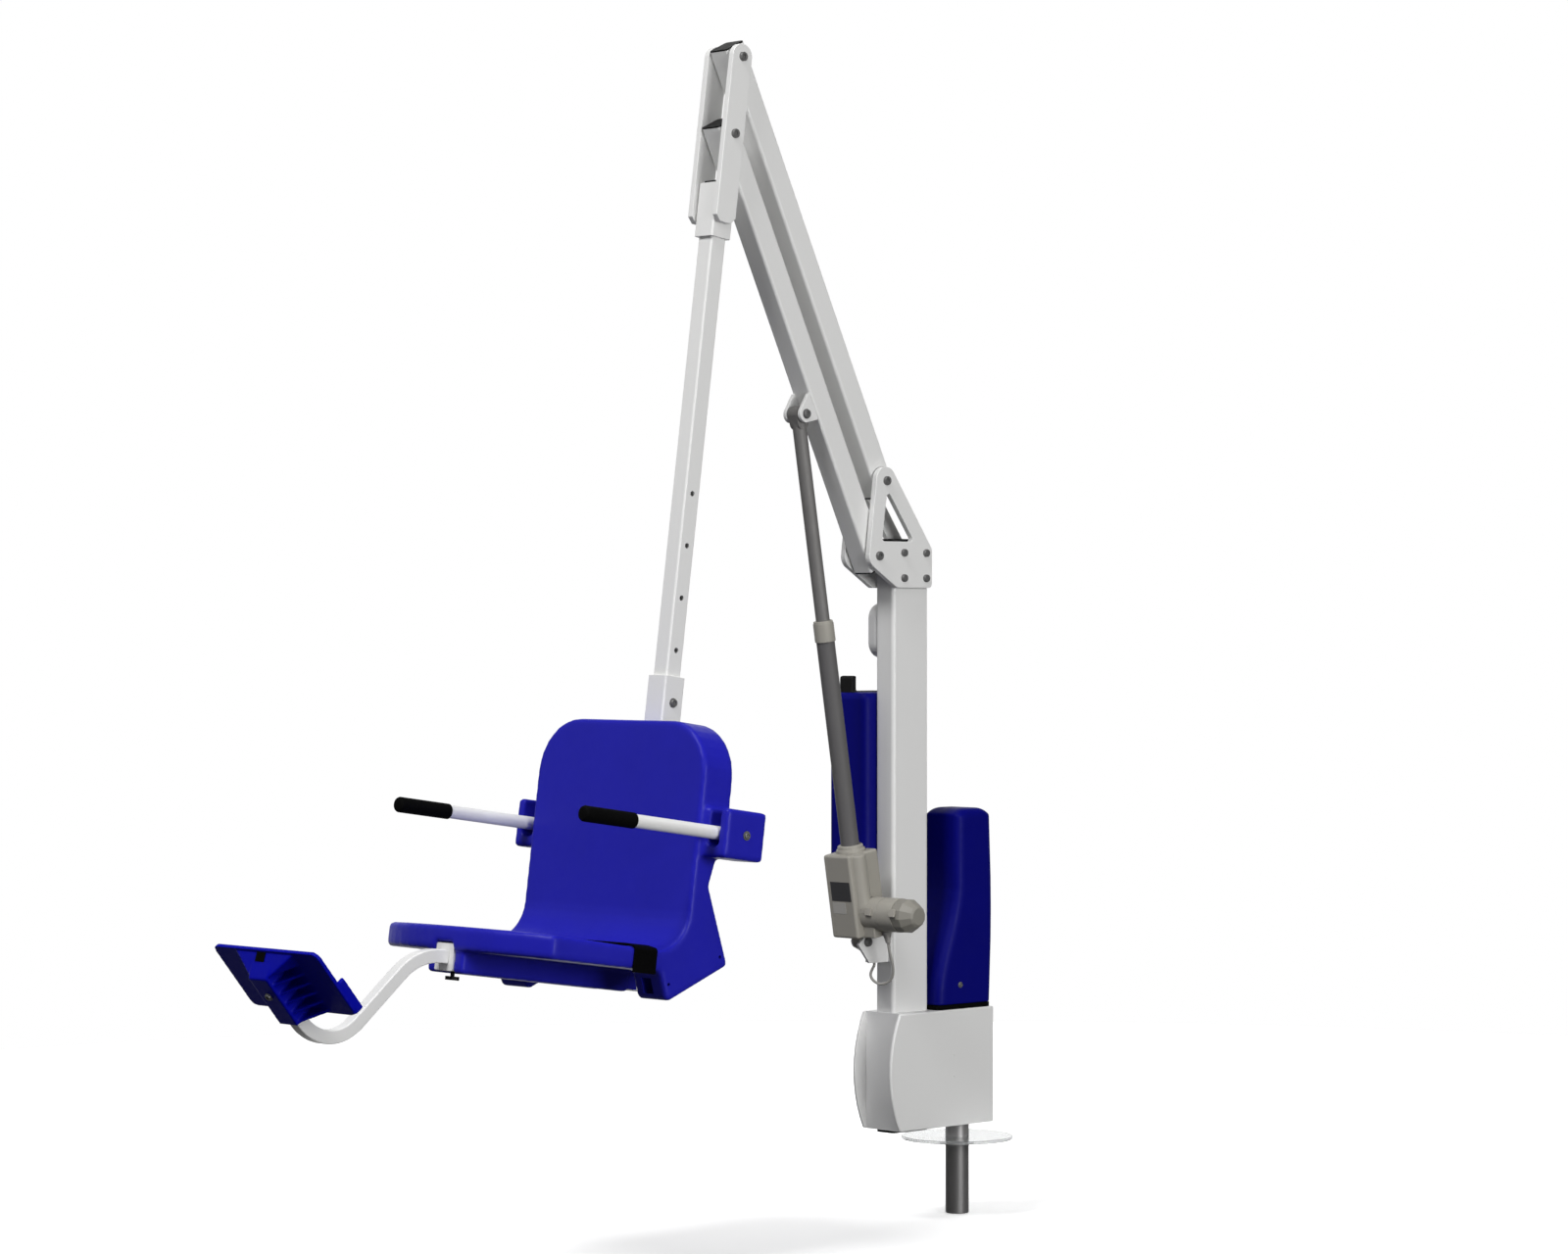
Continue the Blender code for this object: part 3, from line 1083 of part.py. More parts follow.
def foot_plate():
    """Foot plate along +X, the tube's axis at z = 0: plate, socket block, gusset ribs and heel rim."""
    start, end = FOOT_PLATE_START, FOOT_PLATE_START + FOOT_PLATE_LEN
    half = FOOT_TUBE / 2
    under = half + FOOT_BLOCK_SKIN
    middle = ((start + end) / 2, 0.0)
    plate = prism("foot_plate", rounded(middle, FOOT_PLATE_LEN / 2, FOOT_PLATE_HALF, FOOT_PLATE_ROUND),
                  under, under + FOOT_PLATE_T, "Z")
    block_start, block_end = start + FOOT_BLOCK_SETBACK, start + FOOT_BLOCK_LEN
    top = under + FOOT_PLATE_T / 2
    spine = [(block_start, -under), (block_end - FOOT_BLOCK_SLOPE, -under), (block_end, top),
             (block_start, top)]
    join(plate, prism("spine", spine, -FOOT_BLOCK_HALF, FOOT_BLOCK_HALF))
    reach = FOOT_BLOCK_HALF + FOOT_RIB_REACH
    crown = FOOT_BLOCK_HALF * FOOT_RIB_CROWN
    keel = -under + FOOT_PLATE_T / 2
    gusset = [(-reach, top), (-crown, keel), (crown, keel), (reach, top)]
    pitch = (FOOT_BLOCK_LEN - FOOT_BLOCK_SLOPE - FOOT_RIB_SETBACK) / FOOT_RIBS
    for i in range(FOOT_RIBS):
        place = start + FOOT_RIB_SETBACK + i * pitch
        join(plate, prism("gusset", gusset, place, place + FOOT_RIB_T, "X"))
    hip, toe = block_end - FOOT_BLOCK_SLOPE, end - FOOT_HIP_INSET
    join(plate, wedge("hip", [(hip, reach, top), (hip, -reach, top), (hip, crown, keel), (hip, -crown, keel),
                              (toe, reach, top), (toe, -reach, top)]))
    rim_top = under + FOOT_PLATE_T + HEEL_RIM_H
    wide, edge, tip = FOOT_PLATE_HALF - HEEL_RIM_INSET, start + HEEL_RIM_INSET, start + HEEL_RIM_LEN
    narrow, face = wide - HEEL_RIM_T, start + HEEL_RIM_T
    rim = [(tip, wide), (edge, wide), (edge, -wide), (tip, -wide), (tip, -narrow), (face, -narrow),
           (face, narrow), (tip, narrow)]
    join(plate, prism("rim", rim, top, rim_top, "Z"))
    hole = half + CLEAR
    cut(plate, prism("hole", rounded((0, 0), hole, hole, FOOT_TUBE_CORNER, 1), 0.0, FOOT_STUB + CLEAR, "X"))
    return plate


def build_actuator():
    """Linear actuator on the mast bracket's pin: gear case with its motor, tube, collar and rod."""
    axis = frame_at("actuator_axis", ACT_PIN, ACT_TILT)
    wide = GEARBOX_WIDTH / 2
    case = block("actuator_gearbox", (-GEARBOX_BEHIND, -wide, GEARBOX_FOOT),
                 (GEARBOX_AHEAD, wide, GEARBOX_TOP), GEARBOX_EDGE)
    boss_top = GEARBOX_TOP + BOSS_H
    join(case, turned("boss", [(0, GEARBOX_TOP - BOSS_H), (BOSS_D / 2, GEARBOX_TOP - BOSS_H),
                               (BOSS_D / 2, GEARBOX_TOP + BOSS_H / 2),
                               (BOSS_STEP_D / 2, boss_top - BOSS_LEAD),
                               (BOSS_STEP_D / 2 - BOSS_EDGE, boss_top), (0, boss_top)], 20))
    join(case, rod("motor", (0.0, MOTOR_Z), MOTOR_D / 2, 0.0, MOTOR_END, sides=20))
    join(case, hull("lug", [(0.0, 0.0, LUG_R), (-LUG_R / 2, GEARBOX_FOOT + LUG_R, LUG_R),
                            (LUG_R / 2, GEARBOX_FOOT + LUG_R, LUG_R)], -LUG_T / 2, LUG_T / 2))
    cut(case, rod("eye", (0.0, 0.0), ACT_PIN_D / 2 + RUN, -LUG_T, LUG_T, sides=12))
    tube_foot = GEARBOX_TOP - TUBE_SEAT
    cut(case, rod("socket", (0.0, 0.0), ACT_TUBE_D / 2 + CLEAR, tube_foot, boss_top + BOSS_H, "Z", 20))
    dress(case, WARM_GREY, 0.5, 0.0, axis)
    end_r = MOTOR_D / 2
    seam = MOTOR_END + CLEAR
    cap = turned("motor_cap", [(0, seam), (end_r, seam), (end_r, MOTOR_END + MOTOR_CAP_BAND),
                               (end_r * MOTOR_CAP_TAPER, MOTOR_CAP_END - MOTOR_CAP_EDGE),
                               (end_r * MOTOR_CAP_NOSE, MOTOR_CAP_END),
                               (0, MOTOR_CAP_END)], MOTOR_CAP_SIDES, "Y")
    dress(shifted(cap, 0.0, 0.0, MOTOR_Z), WARM_GREY, 0.5, 0.0, axis, smooth=False)
    tube = rod("actuator_tube", (0.0, 0.0), ACT_TUBE_D / 2, tube_foot + CLEAR, ACT_TUBE_TOP, "Z", 20,
               ACT_TUBE_D / 2 - ACT_TUBE_WALL)
    dress(tube, STEEL, 0.45, 0.3, axis)
    collar = rod("tube_collar", (0.0, 0.0), COLLAR_D / 2, COLLAR_FOOT, COLLAR_TOP, "Z", 20)
    cut(collar, rod("seat", (0.0, 0.0), ACT_TUBE_D / 2 + CLEAR, 0.0, ACT_TUBE_TOP + CLEAR, "Z", 20),
        rod("way", (0.0, 0.0), ROD_D / 2 + RUN, 0.0, COLLAR_TOP + COLLAR_D, "Z", 20))
    dress(collar, WARM_GREY, 0.5, 0.0, axis)
    slide = frame_at("rod_axis", (0.0, 0.0, ACT_LENGTH), 0.0, axis)
    stem = rod("actuator_rod", (0.0, 0.0), ROD_D / 2, ROD_FOOT - ACT_LENGTH, -ROD_EYE_R, "Z", 20)
    join(stem, hull("eye", [(0.0, 0.0, ROD_EYE_R), (0.0, -ROD_EYE_R, ROD_D / 2)],
                    -ROD_EYE_T / 2, ROD_EYE_T / 2))
    join(stem, rod("pin", (0.0, 0.0), ACT_PIN_D / 2, -EAR_IN + CLEAR, EAR_IN - CLEAR, sides=12))
    dress(stem, DARK_STEEL, 0.3, 1.0, slide)
    plug_top = MOTOR_Z - MOTOR_D / 2 - CLEAR
    plug = turned("cable_plug", [(0, plug_top), (PLUG_D / 2, plug_top), (PLUG_D / 2, plug_top - PLUG_LEN / 3),
                                 (PLUG_FOOT_D / 2, plug_top - PLUG_LEN), (0, plug_top - PLUG_LEN)], 16)
    dress(shifted(plug, 0.0, PLUG_Y, 0.0), WARM_GREY, 0.6, 0.0, axis)


def build_bracket():
    """Actuator bracket on the mast's front face, and its pin."""
    seat = MAST_FRONT + CLEAR
    bracket = block("actuator_bracket", (seat, -BRACKET_HALF, BRACKET_FOOT),
                    (seat + BRACKET_BASE_T, BRACKET_HALF, BRACKET_TOP))
    r = BRACKET_CORNER
    inset = BRACKET_EAR_INSET + r
    reach = BRACKET_IN + BRACKET_T
    join(bracket, block("floor", (seat, -BRACKET_IN - BRACKET_T / 2, BRACKET_FOOT),
                        (seat + BRACKET_FLOOR, BRACKET_IN + BRACKET_T / 2, BRACKET_FOOT + BRACKET_T)))
    web = [(ACT_PIN.x, ACT_PIN.z, BRACKET_EAR_R), (seat + inset, BRACKET_FOOT + inset, r),
           (seat + inset, BRACKET_TOP - inset, r)]
    toe = [(ACT_PIN.x + BRACKET_BROW, ACT_PIN.z - BRACKET_BROW_DROP, r),
           (seat + BRACKET_TOE - r, BRACKET_FOOT + inset, r)]
    join(bracket, hull("near_ear", web + toe, BRACKET_IN, reach))
    join(bracket, hull("far_ear", web, -reach, -BRACKET_IN))
    cut(bracket, rod("hole", (ACT_PIN.x, ACT_PIN.z), ACT_PIN_D / 2 + CLEAR, -2 * reach, 2 * reach, sides=12))
    painted(bracket)
    bare_steel(bolt("bracket_pin", ACT_PIN.x, ACT_PIN.z, reach, ACT_PIN_D, ACT_PIN_D * SMALL_HEAD_RATIO,
                    BOLT_HEAD_T))


def build_boxes():
    """Control box with its lift-out battery, and the small box above it, on the mast's far flank."""
    near = -MAST_WIDTH / 2 - CLEAR
    box = block("control_box", (BOX_FRONT - BOX_DEPTH, -BOX_FAR, BOX_FOOT),
                (BOX_FRONT, near, BOX_TOP), BOX_ROUND, 3)
    low = (BATTERY_X - BATTERY_DEPTH / 2, -BATTERY_FAR, BOX_TOP - BATTERY_IN)
    high = (BATTERY_X + BATTERY_DEPTH / 2, -BATTERY_NEAR, BOX_TOP + BATTERY_RISE)
    cut(box, block("pocket", [v - CLEAR for v in low], (high[0] + CLEAR, high[1] + CLEAR, 2 * BOX_TOP)))
    moulded(box)
    battery = block("battery", low, high, BATTERY_EDGE)
    tab_rear, tab_near = high[0] - TAB_T, high[1] - TAB_IN
    behind, ahead = low[0] - TAB_T, high[0] + TAB_T
    waste = [(behind, -BOX_FAR), (tab_rear, -BOX_FAR), (tab_rear, tab_near), (ahead, tab_near),
             (ahead, 0.0), (behind, 0.0)]
    black_plastic(cut(battery, prism("beside_tab", waste, BOX_TOP + TAB_ROOT, high[2] + TAB_T, "Z")))
    half_x, half_z = JUNCTION_W / 2, JUNCTION_HEIGHT / 2
    middle = (JUNCTION_X, BOX_TOP + JUNCTION_GAP + half_z)
    junction = prism("junction_box", rounded(middle, half_x, half_z, JUNCTION_ROUND, 6),
                     near - JUNCTION_DEPTH, near)
    dress(junction, WHITE, 0.5, 0.0)


def build_lead():
    """Thin lead that hangs from the motor plug in one loop and ends under the mast bracket."""
    foot = MOTOR_Z - MOTOR_D / 2 - CLEAR - PLUG_LEN - LEAD_FREE
    turn = Matrix.Rotation(ACT_TILT, 4, "Y")
    start = ACT_PIN + turn @ Vector((0.0, PLUG_Y, foot))
    last = LEAD_ROUTE[-1]
    end = Vector((last[0], last[1], BRACKET_FOOT - 2 * CLEAR))
    route = [start] + [Vector(point) for point in LEAD_ROUTE] + [end]
    curve = bpy.data.curves.new("actuator_cable", "CURVE")
    curve.dimensions = "3D"
    curve.bevel_depth = LEAD_D / 2
    curve.bevel_resolution = 2
    curve.use_fill_caps = True
    points = smooth_path(route, 2)
    line = curve.splines.new("POLY")
    line.points.add(len(points) - 1)
    for spot, place in zip(line.points, points):
        spot.co = (*place, 1.0)
    made = bpy.data.objects.new("actuator_cable", curve)
    bpy.context.scene.collection.objects.link(made)
    finish = bpy.data.materials.new("actuator_cable_finish")
    finish.use_nodes = True
    shader = finish.node_tree.nodes["Principled BSDF"]
    shader.inputs["Base Color"].default_value = (*WARM_GREY, 1.0)
    shader.inputs["Roughness"].default_value = 0.6
    curve.materials.append(finish)


def smooth_path(route, steps):
    """Points of a smooth curve through the route."""
    padded = [2 * route[0] - route[1]] + route + [2 * route[-1] - route[-2]]
    points = []
    for a, b, c, d in zip(padded, padded[1:], padded[2:], padded[3:]):
        for i in range(steps):
            t = i / steps
            points.append(0.5 * (2 * b + (c - a) * t + (2 * a - 5 * b + 4 * c - d) * t * t
                                 + (3 * b - a - 3 * c + d) * t ** 3))
    return points + [route[-1]]


def main():
    """Build the lift from the ground up."""
    clear_scene()
    build_base()
    build_housing()
    build_rear_cover()
    build_mast()
    build_bracket()
    build_boxes()
    lower_axis = build_arm("lower_arm", MAST_LOWER)
    build_rod_ears(lower_axis)
    build_arm("upper_arm", MAST_UPPER)
    head_axis = frame_at("head_axis", HEAD_LOWER, -PIVOT_TILT)
    build_head(head_axis)
    build_rail(head_axis)
    build_seat_shell(head_axis)
    build_belt(head_axis)
    build_armrest("near", 1, head_axis)
    build_armrest("far", -1, head_axis)
    build_footrest(head_axis)
    build_actuator()
    build_lead()


main()
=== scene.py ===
"""Looks of a pool lift: white coated steel, blue moulded seat and covers, grey linear actuator.

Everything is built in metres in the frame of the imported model: +Z up, +X from mast to seat.
"""

from __future__ import annotations

import json
import logging
from collections.abc import Iterable, Sequence
from dataclasses import dataclass
from enum import Enum
from math import atan2, cos, pi, radians, sin, tan

import bmesh
import bpy
from mathutils import Matrix, Vector


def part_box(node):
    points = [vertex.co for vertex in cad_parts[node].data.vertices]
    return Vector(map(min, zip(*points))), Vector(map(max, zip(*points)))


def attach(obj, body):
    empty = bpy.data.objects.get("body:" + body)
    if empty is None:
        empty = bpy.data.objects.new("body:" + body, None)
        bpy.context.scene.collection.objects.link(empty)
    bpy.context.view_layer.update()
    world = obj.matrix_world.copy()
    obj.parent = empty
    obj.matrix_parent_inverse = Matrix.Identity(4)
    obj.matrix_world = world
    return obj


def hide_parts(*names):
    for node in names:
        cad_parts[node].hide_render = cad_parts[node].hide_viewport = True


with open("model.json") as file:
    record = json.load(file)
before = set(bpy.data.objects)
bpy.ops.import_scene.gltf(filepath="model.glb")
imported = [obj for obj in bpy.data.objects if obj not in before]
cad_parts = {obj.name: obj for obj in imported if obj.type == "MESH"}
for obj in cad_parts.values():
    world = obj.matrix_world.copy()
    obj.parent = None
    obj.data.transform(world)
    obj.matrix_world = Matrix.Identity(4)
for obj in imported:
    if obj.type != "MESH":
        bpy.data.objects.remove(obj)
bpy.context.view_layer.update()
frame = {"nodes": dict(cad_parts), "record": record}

LOG = logging.getLogger("pool_lift")

Point = tuple[float, float, float]
Flat = tuple[float, float]
Run = tuple[Flat, ...]
Colour = tuple[float, float, float]
Shape = bmesh.types.BMesh
Faces = list[bmesh.types.BMFace]
Piece = bpy.types.Object
Socket = bpy.types.NodeSocket

ORIGIN = Matrix.Identity(4)
JOINTS = {joint["name"]: joint for joint in frame["record"]["behaviour"]["joints"]}
GAP = 0.0003  # between two pieces that are fitted together
SHARP = radians(38)  # edges steeper than this stay sharp in the shading
DRAWN = radians(30)  # the same for drawn tubes
CAST = radians(32)  # the same for fused castings
CORNER = radians(60)  # least angle of a plate's edge that is rounded
OVERRUN = 0.02  # how far a cutter stands out of what it cuts
THROUGH = 0.03  # half length of a cutter that passes through a tube
SIDES = (("near", 1), ("far", -1))


class Body(Enum):
    """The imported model's rigid bodies."""

    BASE = "base"
    MAST = "mast"
    PINION = "pinion"
    BATTERY = "battery"
    LOWER_ARM = "lower_arm"
    UPPER_ARM = "upper_arm"
    HEAD = "head"
    ACTUATOR = "actuator"
    ROD = "rod"
    ARMREST_NEAR = "armrest_near"
    ARMREST_FAR = "armrest_far"
    FOOTREST = "footrest"
    KNOB = "knob"


class Axis(Enum):
    """Direction of a turned or extruded piece in its own frame."""

    X = "X"
    Y = "Y"
    Z = "Z"

    def turn(self) -> Matrix:
        """Give the rotation that takes +Z to this axis.

        Returns:
            The rotation.
        """
        if self is Axis.X:
            return Matrix.Rotation(pi / 2, 4, "Y")
        if self is Axis.Y:
            return Matrix.Rotation(-pi / 2, 4, "X")
        return ORIGIN


class Graph:
    """A node tree under construction, with short calls for the nodes that the looks share."""

    def __init__(self, owner: bpy.types.ID, shader: str = "Principled BSDF") -> None:
        """Take over the nodes of a new material or world.

        Args:
            owner: The material or world.
            shader: Name of the node that the others drive.
        """
        owner.use_nodes = True
        self.owner = owner
        self.tree = owner.node_tree
        self.shader = self.tree.nodes[shader]

    def add(self, kind: str, **values: object) -> bpy.types.Node:
        """Add a node.

        Args:
            kind: Node type, such as ShaderNodeTexNoise.
            values: Attributes of the node, or values and sources of its inputs, named with
                spaces as underscores.

        Returns:
            The node.
        """
        node = self.tree.nodes.new(kind)
        for key, value in values.items():
            socket = key.replace("_", " ")
            if socket not in node.inputs:
                setattr(node, key, value)
            elif isinstance(value, Socket):
                self.link(value, node.inputs[socket])
            else:
                node.inputs[socket].default_value = value
        return node

    def link(self, source: Socket, target: Socket) -> None:
        """Join two sockets."""
        self.tree.links.new(source, target)

    def drive(self, source: Socket, name: str) -> None:
        """Join a socket to one of the shader's inputs."""
        self.link(source, self.shader.inputs[name])

    def constant(self, **values: object) -> None:
        """Set the shader's own sockets, named with spaces as underscores."""
        for key, value in values.items():
            self.shader.inputs[key.replace("_", " ")].default_value = value

    def place(self, stretch: Point = (1.0, 1.0, 1.0)) -> Socket:
        """Give object coordinates, stretched along the axes."""
        source = self.add("ShaderNodeTexCoord").outputs["Object"]
        return self.add("ShaderNodeMapping", Vector=source, Scale=stretch).outputs["Vector"]

    def noise(self, scale: float, detail: float = 3.0, stretch: Point = (1.0, 1.0, 1.0)) -> Socket:
        """Give grey noise of a scale in waves per metre."""
        return self.add("ShaderNodeTexNoise", Vector=self.place(stretch), Scale=scale,
                        Detail=detail, Roughness=0.55).outputs["Fac"]

    def spread(self, source: Socket, low: float, high: float) -> Socket:
        """Map the middle of a grey value's range onto low to high."""
        return self.add("ShaderNodeMapRange", Value=source, From_Min=0.3, From_Max=0.7,
                        To_Min=low, To_Max=high).outputs["Result"]

    def blend(self, factor: Socket, first: Colour, second: Colour) -> Socket:
        """Mix two colours.

        Args:
            factor: Share of the second colour.
            first: One colour.
            second: The other colour.

        Returns:
            The mixed colour.
        """
        node = self.add("ShaderNodeMix", data_type="RGBA", Factor=factor)
        for socket, colour in ((node.inputs[6], first), (node.inputs[7], second)):
            socket.default_value = (*colour, 1.0)
        return node.outputs[2]

    def bump(self, *heights: tuple[Socket, float]) -> None:
        """Chain bumps onto the shader's normal.

        Args:
            heights: Height sockets, each with its depth in metres.
        """
        before = {}
        for height, depth in heights:
            node = self.add("ShaderNodeBump", Strength=1.0, Distance=depth, Height=height, **before)
            before = {"Normal": node.outputs["Normal"]}
        self.drive(before["Normal"], "Normal")


@dataclass(frozen=True)
class Finish:
    """A surface finish for any piece: a drifting tone, a varying gloss and fine bumps."""

    name: str
    slot: str
    colour: Colour
    rough: float = 0.48
    band: Flat = (-0.06, 0.08)  # of the roughness, round rough
    mottle: float = 0.05  # depth of the tones
    sheen: float = 0.5
    tint: Flat = (14.0, 3.0)  # scale and detail of the tones
    gloss: Flat = (120.0, 3.0)  # scale and detail of the roughness
    bumps: Run = ()  # scale and depth of each bump

    def paint(self, graph: Graph) -> None:
        """Add the finish's nodes to a material."""
        self.skin(graph, graph.noise(*self.tint), graph.noise(*self.gloss))
        graph.bump(*((graph.noise(scale, 2.0), depth) for scale, depth in self.bumps))

    def skin(self, graph: Graph, tint: Socket, gloss: Socket) -> None:
        """Lay a varying colour, a varying roughness and the sheen on a material.

        Args:
            graph: The material.
            tint: Grey value that blends a darker and a lighter tone.
            gloss: Grey value that spreads the roughness.
        """
        dark = tuple(channel * (1.0 - self.mottle) for channel in self.colour)
        light = tuple(min(1.0, channel * (1.0 + self.mottle)) for channel in self.colour)
        graph.drive(graph.blend(tint, dark, light), "Base Color")
        self.polish(graph, gloss)
        graph.constant(Specular_IOR_Level=self.sheen)

    def polish(self, graph: Graph, gloss: Socket) -> None:
        """Spread the roughness over its band."""
        low, high = self.band
        graph.drive(graph.spread(gloss, self.rough + low, self.rough + high), "Roughness")

    def material(self) -> bpy.types.Material:
        """Give the material, made at its first use.

        Returns:
            The material.
        """
        found = bpy.data.materials.get(self.name)
        if found:
            return found
        graph = Graph(bpy.data.materials.new(self.name))
        self.paint(graph)
        return graph.owner


@dataclass(frozen=True)
class PowderCoat(Finish):
    """Powder coat with a faint orange peel and slight dulling."""

    rough: float = 0.42
    band: Flat = (-0.05, 0.06)
    mottle: float = 0.02
    sheen: float = 0.45
    tint: Flat = (4.5, 3.0)
    gloss: Flat = (38.0, 3.0)
    bumps: Run = ((620.0, 0.00011),)

    def paint(self, graph: Graph) -> None:
        """Add the common nodes and a thin clear coat."""
        super().paint(graph)
        graph.constant(Coat_Weight=0.12, Coat_Roughness=0.25)


@dataclass(frozen=True)
class MouldedPlastic(Finish):
    """Moulded plastic with a pebbled skin and soft mottling."""

    rough: float = 0.40
    band: Flat = (-0.05, 0.07)
    mottle: float = 0.10
    sheen: float = 0.35
    tint: Flat = (9.0, 4.0)
    gloss: Flat = (60.0, 3.0)
    bumps: Run = ((420.0, 0.00012), (28.0, 0.00024))


@dataclass(frozen=True)
class CastCoat(Finish):
    """Coated die casting with a sandy skin."""

    sheen: float = 0.30
    bumps: Run = ((1100.0, 0.00012), (160.0, 0.00015))


@dataclass(frozen=True)
class FoamRubber(Finish):
    """Closed-cell foam or soft rubber with a dusty tone."""

    rough: float = 0.75
    band: Flat = (-0.08, 0.08)
    mottle: float = 0.35
    sheen: float = 0.05
    tint: Flat = (30.0, 3.0)
    gloss: Flat = (90.0, 3.0)
    cells: Flat = (900.0, 0.00025)

    def paint(self, graph: Graph) -> None:
        """Add the common skin over a bump of small cells.

        Args:
            graph: The material.
        """
        self.skin(graph, graph.noise(*self.tint), graph.noise(*self.gloss))
        cells = graph.add("ShaderNodeTexVoronoi", Vector=graph.place(), Scale=self.cells[0])
        graph.bump((cells.outputs["Distance"], self.cells[1]))


@dataclass(frozen=True)
class BrushedMetal(Finish):
    """Metal with fine lines along one axis and a faint stain."""

    rough: float = 0.30
    band: Flat = (-0.06, 0.10)
    mottle: float = 0.10
    tint: Flat = (18.0, 3.0)
    stretch: Point = (1.0, 1.0, 0.03)
    lines: Flat = (900.0, 0.00004)
    metal: float = 1.0

    def paint(self, graph: Graph) -> None:
        """Add long scratches in gloss and bump.

        Args:
            graph: The material.
        """
        lines = graph.noise(self.lines[0], 3.0, self.stretch)
        self.skin(graph, graph.noise(*self.tint), lines)
        graph.constant(Metallic=self.metal)
        graph.bump((lines, self.lines[1]))


@dataclass(frozen=True)
class Webbing(Finish):
    """Woven strap: ribs across its length with a finer yarn along it."""

    rough: float = 0.62
    band: Flat = (0.0, 0.23)
    mottle: float = 0.5
    sheen: float = 0.04
    gloss: Flat = (150.0, 3.0)
    weave: tuple[tuple[str, float], ...] = (("X", 320.0), ("Y", 192.0))
    depth: float = 0.0003

    def paint(self, graph: Graph) -> None:
        """Cross two waves into a weave.

        Args:
            graph: The material.
        """
        waves = []
        for direction, scale in self.weave:
            wave = graph.add("ShaderNodeTexWave", bands_direction=direction, Scale=scale,
                             Vector=graph.place(), Distortion=0.6)
            waves.append(wave.outputs["Fac"])
        self.skin(graph, waves[0], graph.noise(*self.gloss))
        graph.bump(*((wave, self.depth) for wave in waves))


@dataclass(frozen=True)
class ClearAcrylic(Finish):
    """Clear sheet with polished faces and light scuffs."""

    rough: float = 0.03
    band: Flat = (0.0, 0.11)
    gloss: Flat = (70.0, 5.0)
    swell: Flat = (35.0, 0.00003)

    def paint(self, graph: Graph) -> None:
        """Keep the body clear and show the scuffs in the gloss.

        Args:
            graph: The material.
        """
        graph.constant(Base_Color=(*self.colour, 1.0), Transmission_Weight=0.92, IOR=1.49)
        self.polish(graph, graph.noise(*self.gloss))
        graph.bump((graph.noise(self.swell[0]), self.swell[1]))


WHITE_COAT = PowderCoat("white_powder_coat", "white_paint", (0.80, 0.80, 0.79))
BLUE_SHELL = MouldedPlastic("blue_moulded_shell", "blue_plastic", (0.014, 0.014, 0.39), sheen=0.16)
BLUE_PLATE = MouldedPlastic("blue_moulded_plate", "blue_plastic", (0.0015, 0.003, 0.33), sheen=0.06)
BLUE_COVER = MouldedPlastic("blue_moulded_cover", "blue_plastic", (0.001, 0.0015, 0.16), rough=0.5,
                            sheen=0.10)
BLACK_PLASTIC = MouldedPlastic("black_moulded", "black_plastic", (0.007, 0.007, 0.007), rough=0.5,
                               mottle=0.2, sheen=0.2)
WHITE_PLASTIC = MouldedPlastic("white_moulded", "white_plastic", (0.66, 0.66, 0.66), mottle=0.02)
BLACK_FOAM = FoamRubber("black_foam", "black_rubber", (0.002, 0.002, 0.002))
BLACK_WEB = Webbing("black_webbing", "belt_webbing", (0.002, 0.002, 0.0022))
POST_STEEL = BrushedMetal("zinc_post", "post_steel", (0.24, 0.235, 0.235), rough=0.42, metal=0.7)
BOLT_STEEL = BrushedMetal("zinc_bolt", "bolt_steel", (0.16, 0.16, 0.158), rough=0.42,
                          stretch=(1.0, 1.0, 1.0), metal=0.4)
ROD_STEEL = BrushedMetal("satin_rod", "bolt_steel", (0.20, 0.195, 0.19), rough=0.62, metal=0.35)
GEAR_STEEL = BrushedMetal("cut_gear", "gear_steel", (0.40, 0.40, 0.41), rough=0.4)
BRONZE = BrushedMetal("turned_bronze", "bush_bronze", (0.45, 0.32, 0.14), rough=0.35)
TUBE_GREY = CastCoat("satin_tube", "tube_grey", (0.125, 0.122, 0.122), rough=0.55, sheen=0.22)
WARM_GREY = CastCoat("warm_grey_casting", "warm_grey", (0.35, 0.335, 0.295))
CAP_GREY = CastCoat("warm_grey_cap", "warm_grey", (0.25, 0.24, 0.21))
DRIVE_COAT = CastCoat("dark_drive_coat", "drive_dark", (0.05, 0.05, 0.05))
LEAD_SHEATH = MouldedPlastic("lead_sheath", "lead_grey", (0.36, 0.35, 0.33), rough=0.5, mottle=0.04)
CLEAR_SHEET = ClearAcrylic("clear_sheet", "clear_disc", (0.94, 0.96, 0.96))
# Painted shade and painted light: a darker and a paler copy of the casting's grey, laid on the gear
# case's front.
PAINTED_SHADE_GREY = CastCoat("painted_shade_casting", "warm_grey", (0.05, 0.05, 0.052), rough=0.55)
PAINTED_LIGHT_GREY = CastCoat("painted_light_casting", "warm_grey", (0.42, 0.41, 0.38), rough=0.55)


def joint_place(name: str) -> Vector:
    """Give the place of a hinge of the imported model."""
    return Vector(JOINTS[name]["pos_m"])


def tilted(place: Vector, angle: float) -> Matrix:
    """Give the frame at a place, turned about Y."""
    return Matrix.Translation(place) @ Matrix.Rotation(angle, 4, "Y")


def shift(x: float = 0.0, y: float = 0.0, z: float = 0.0) -> Matrix:
    """Give a move along the axes."""
    return Matrix.Translation((x, y, z))


def sided(way: int, first: float, second: float) -> list[float]:
    """Give a span on one side of the middle plane, lowest end first."""
    return sorted((way * first, way * second))


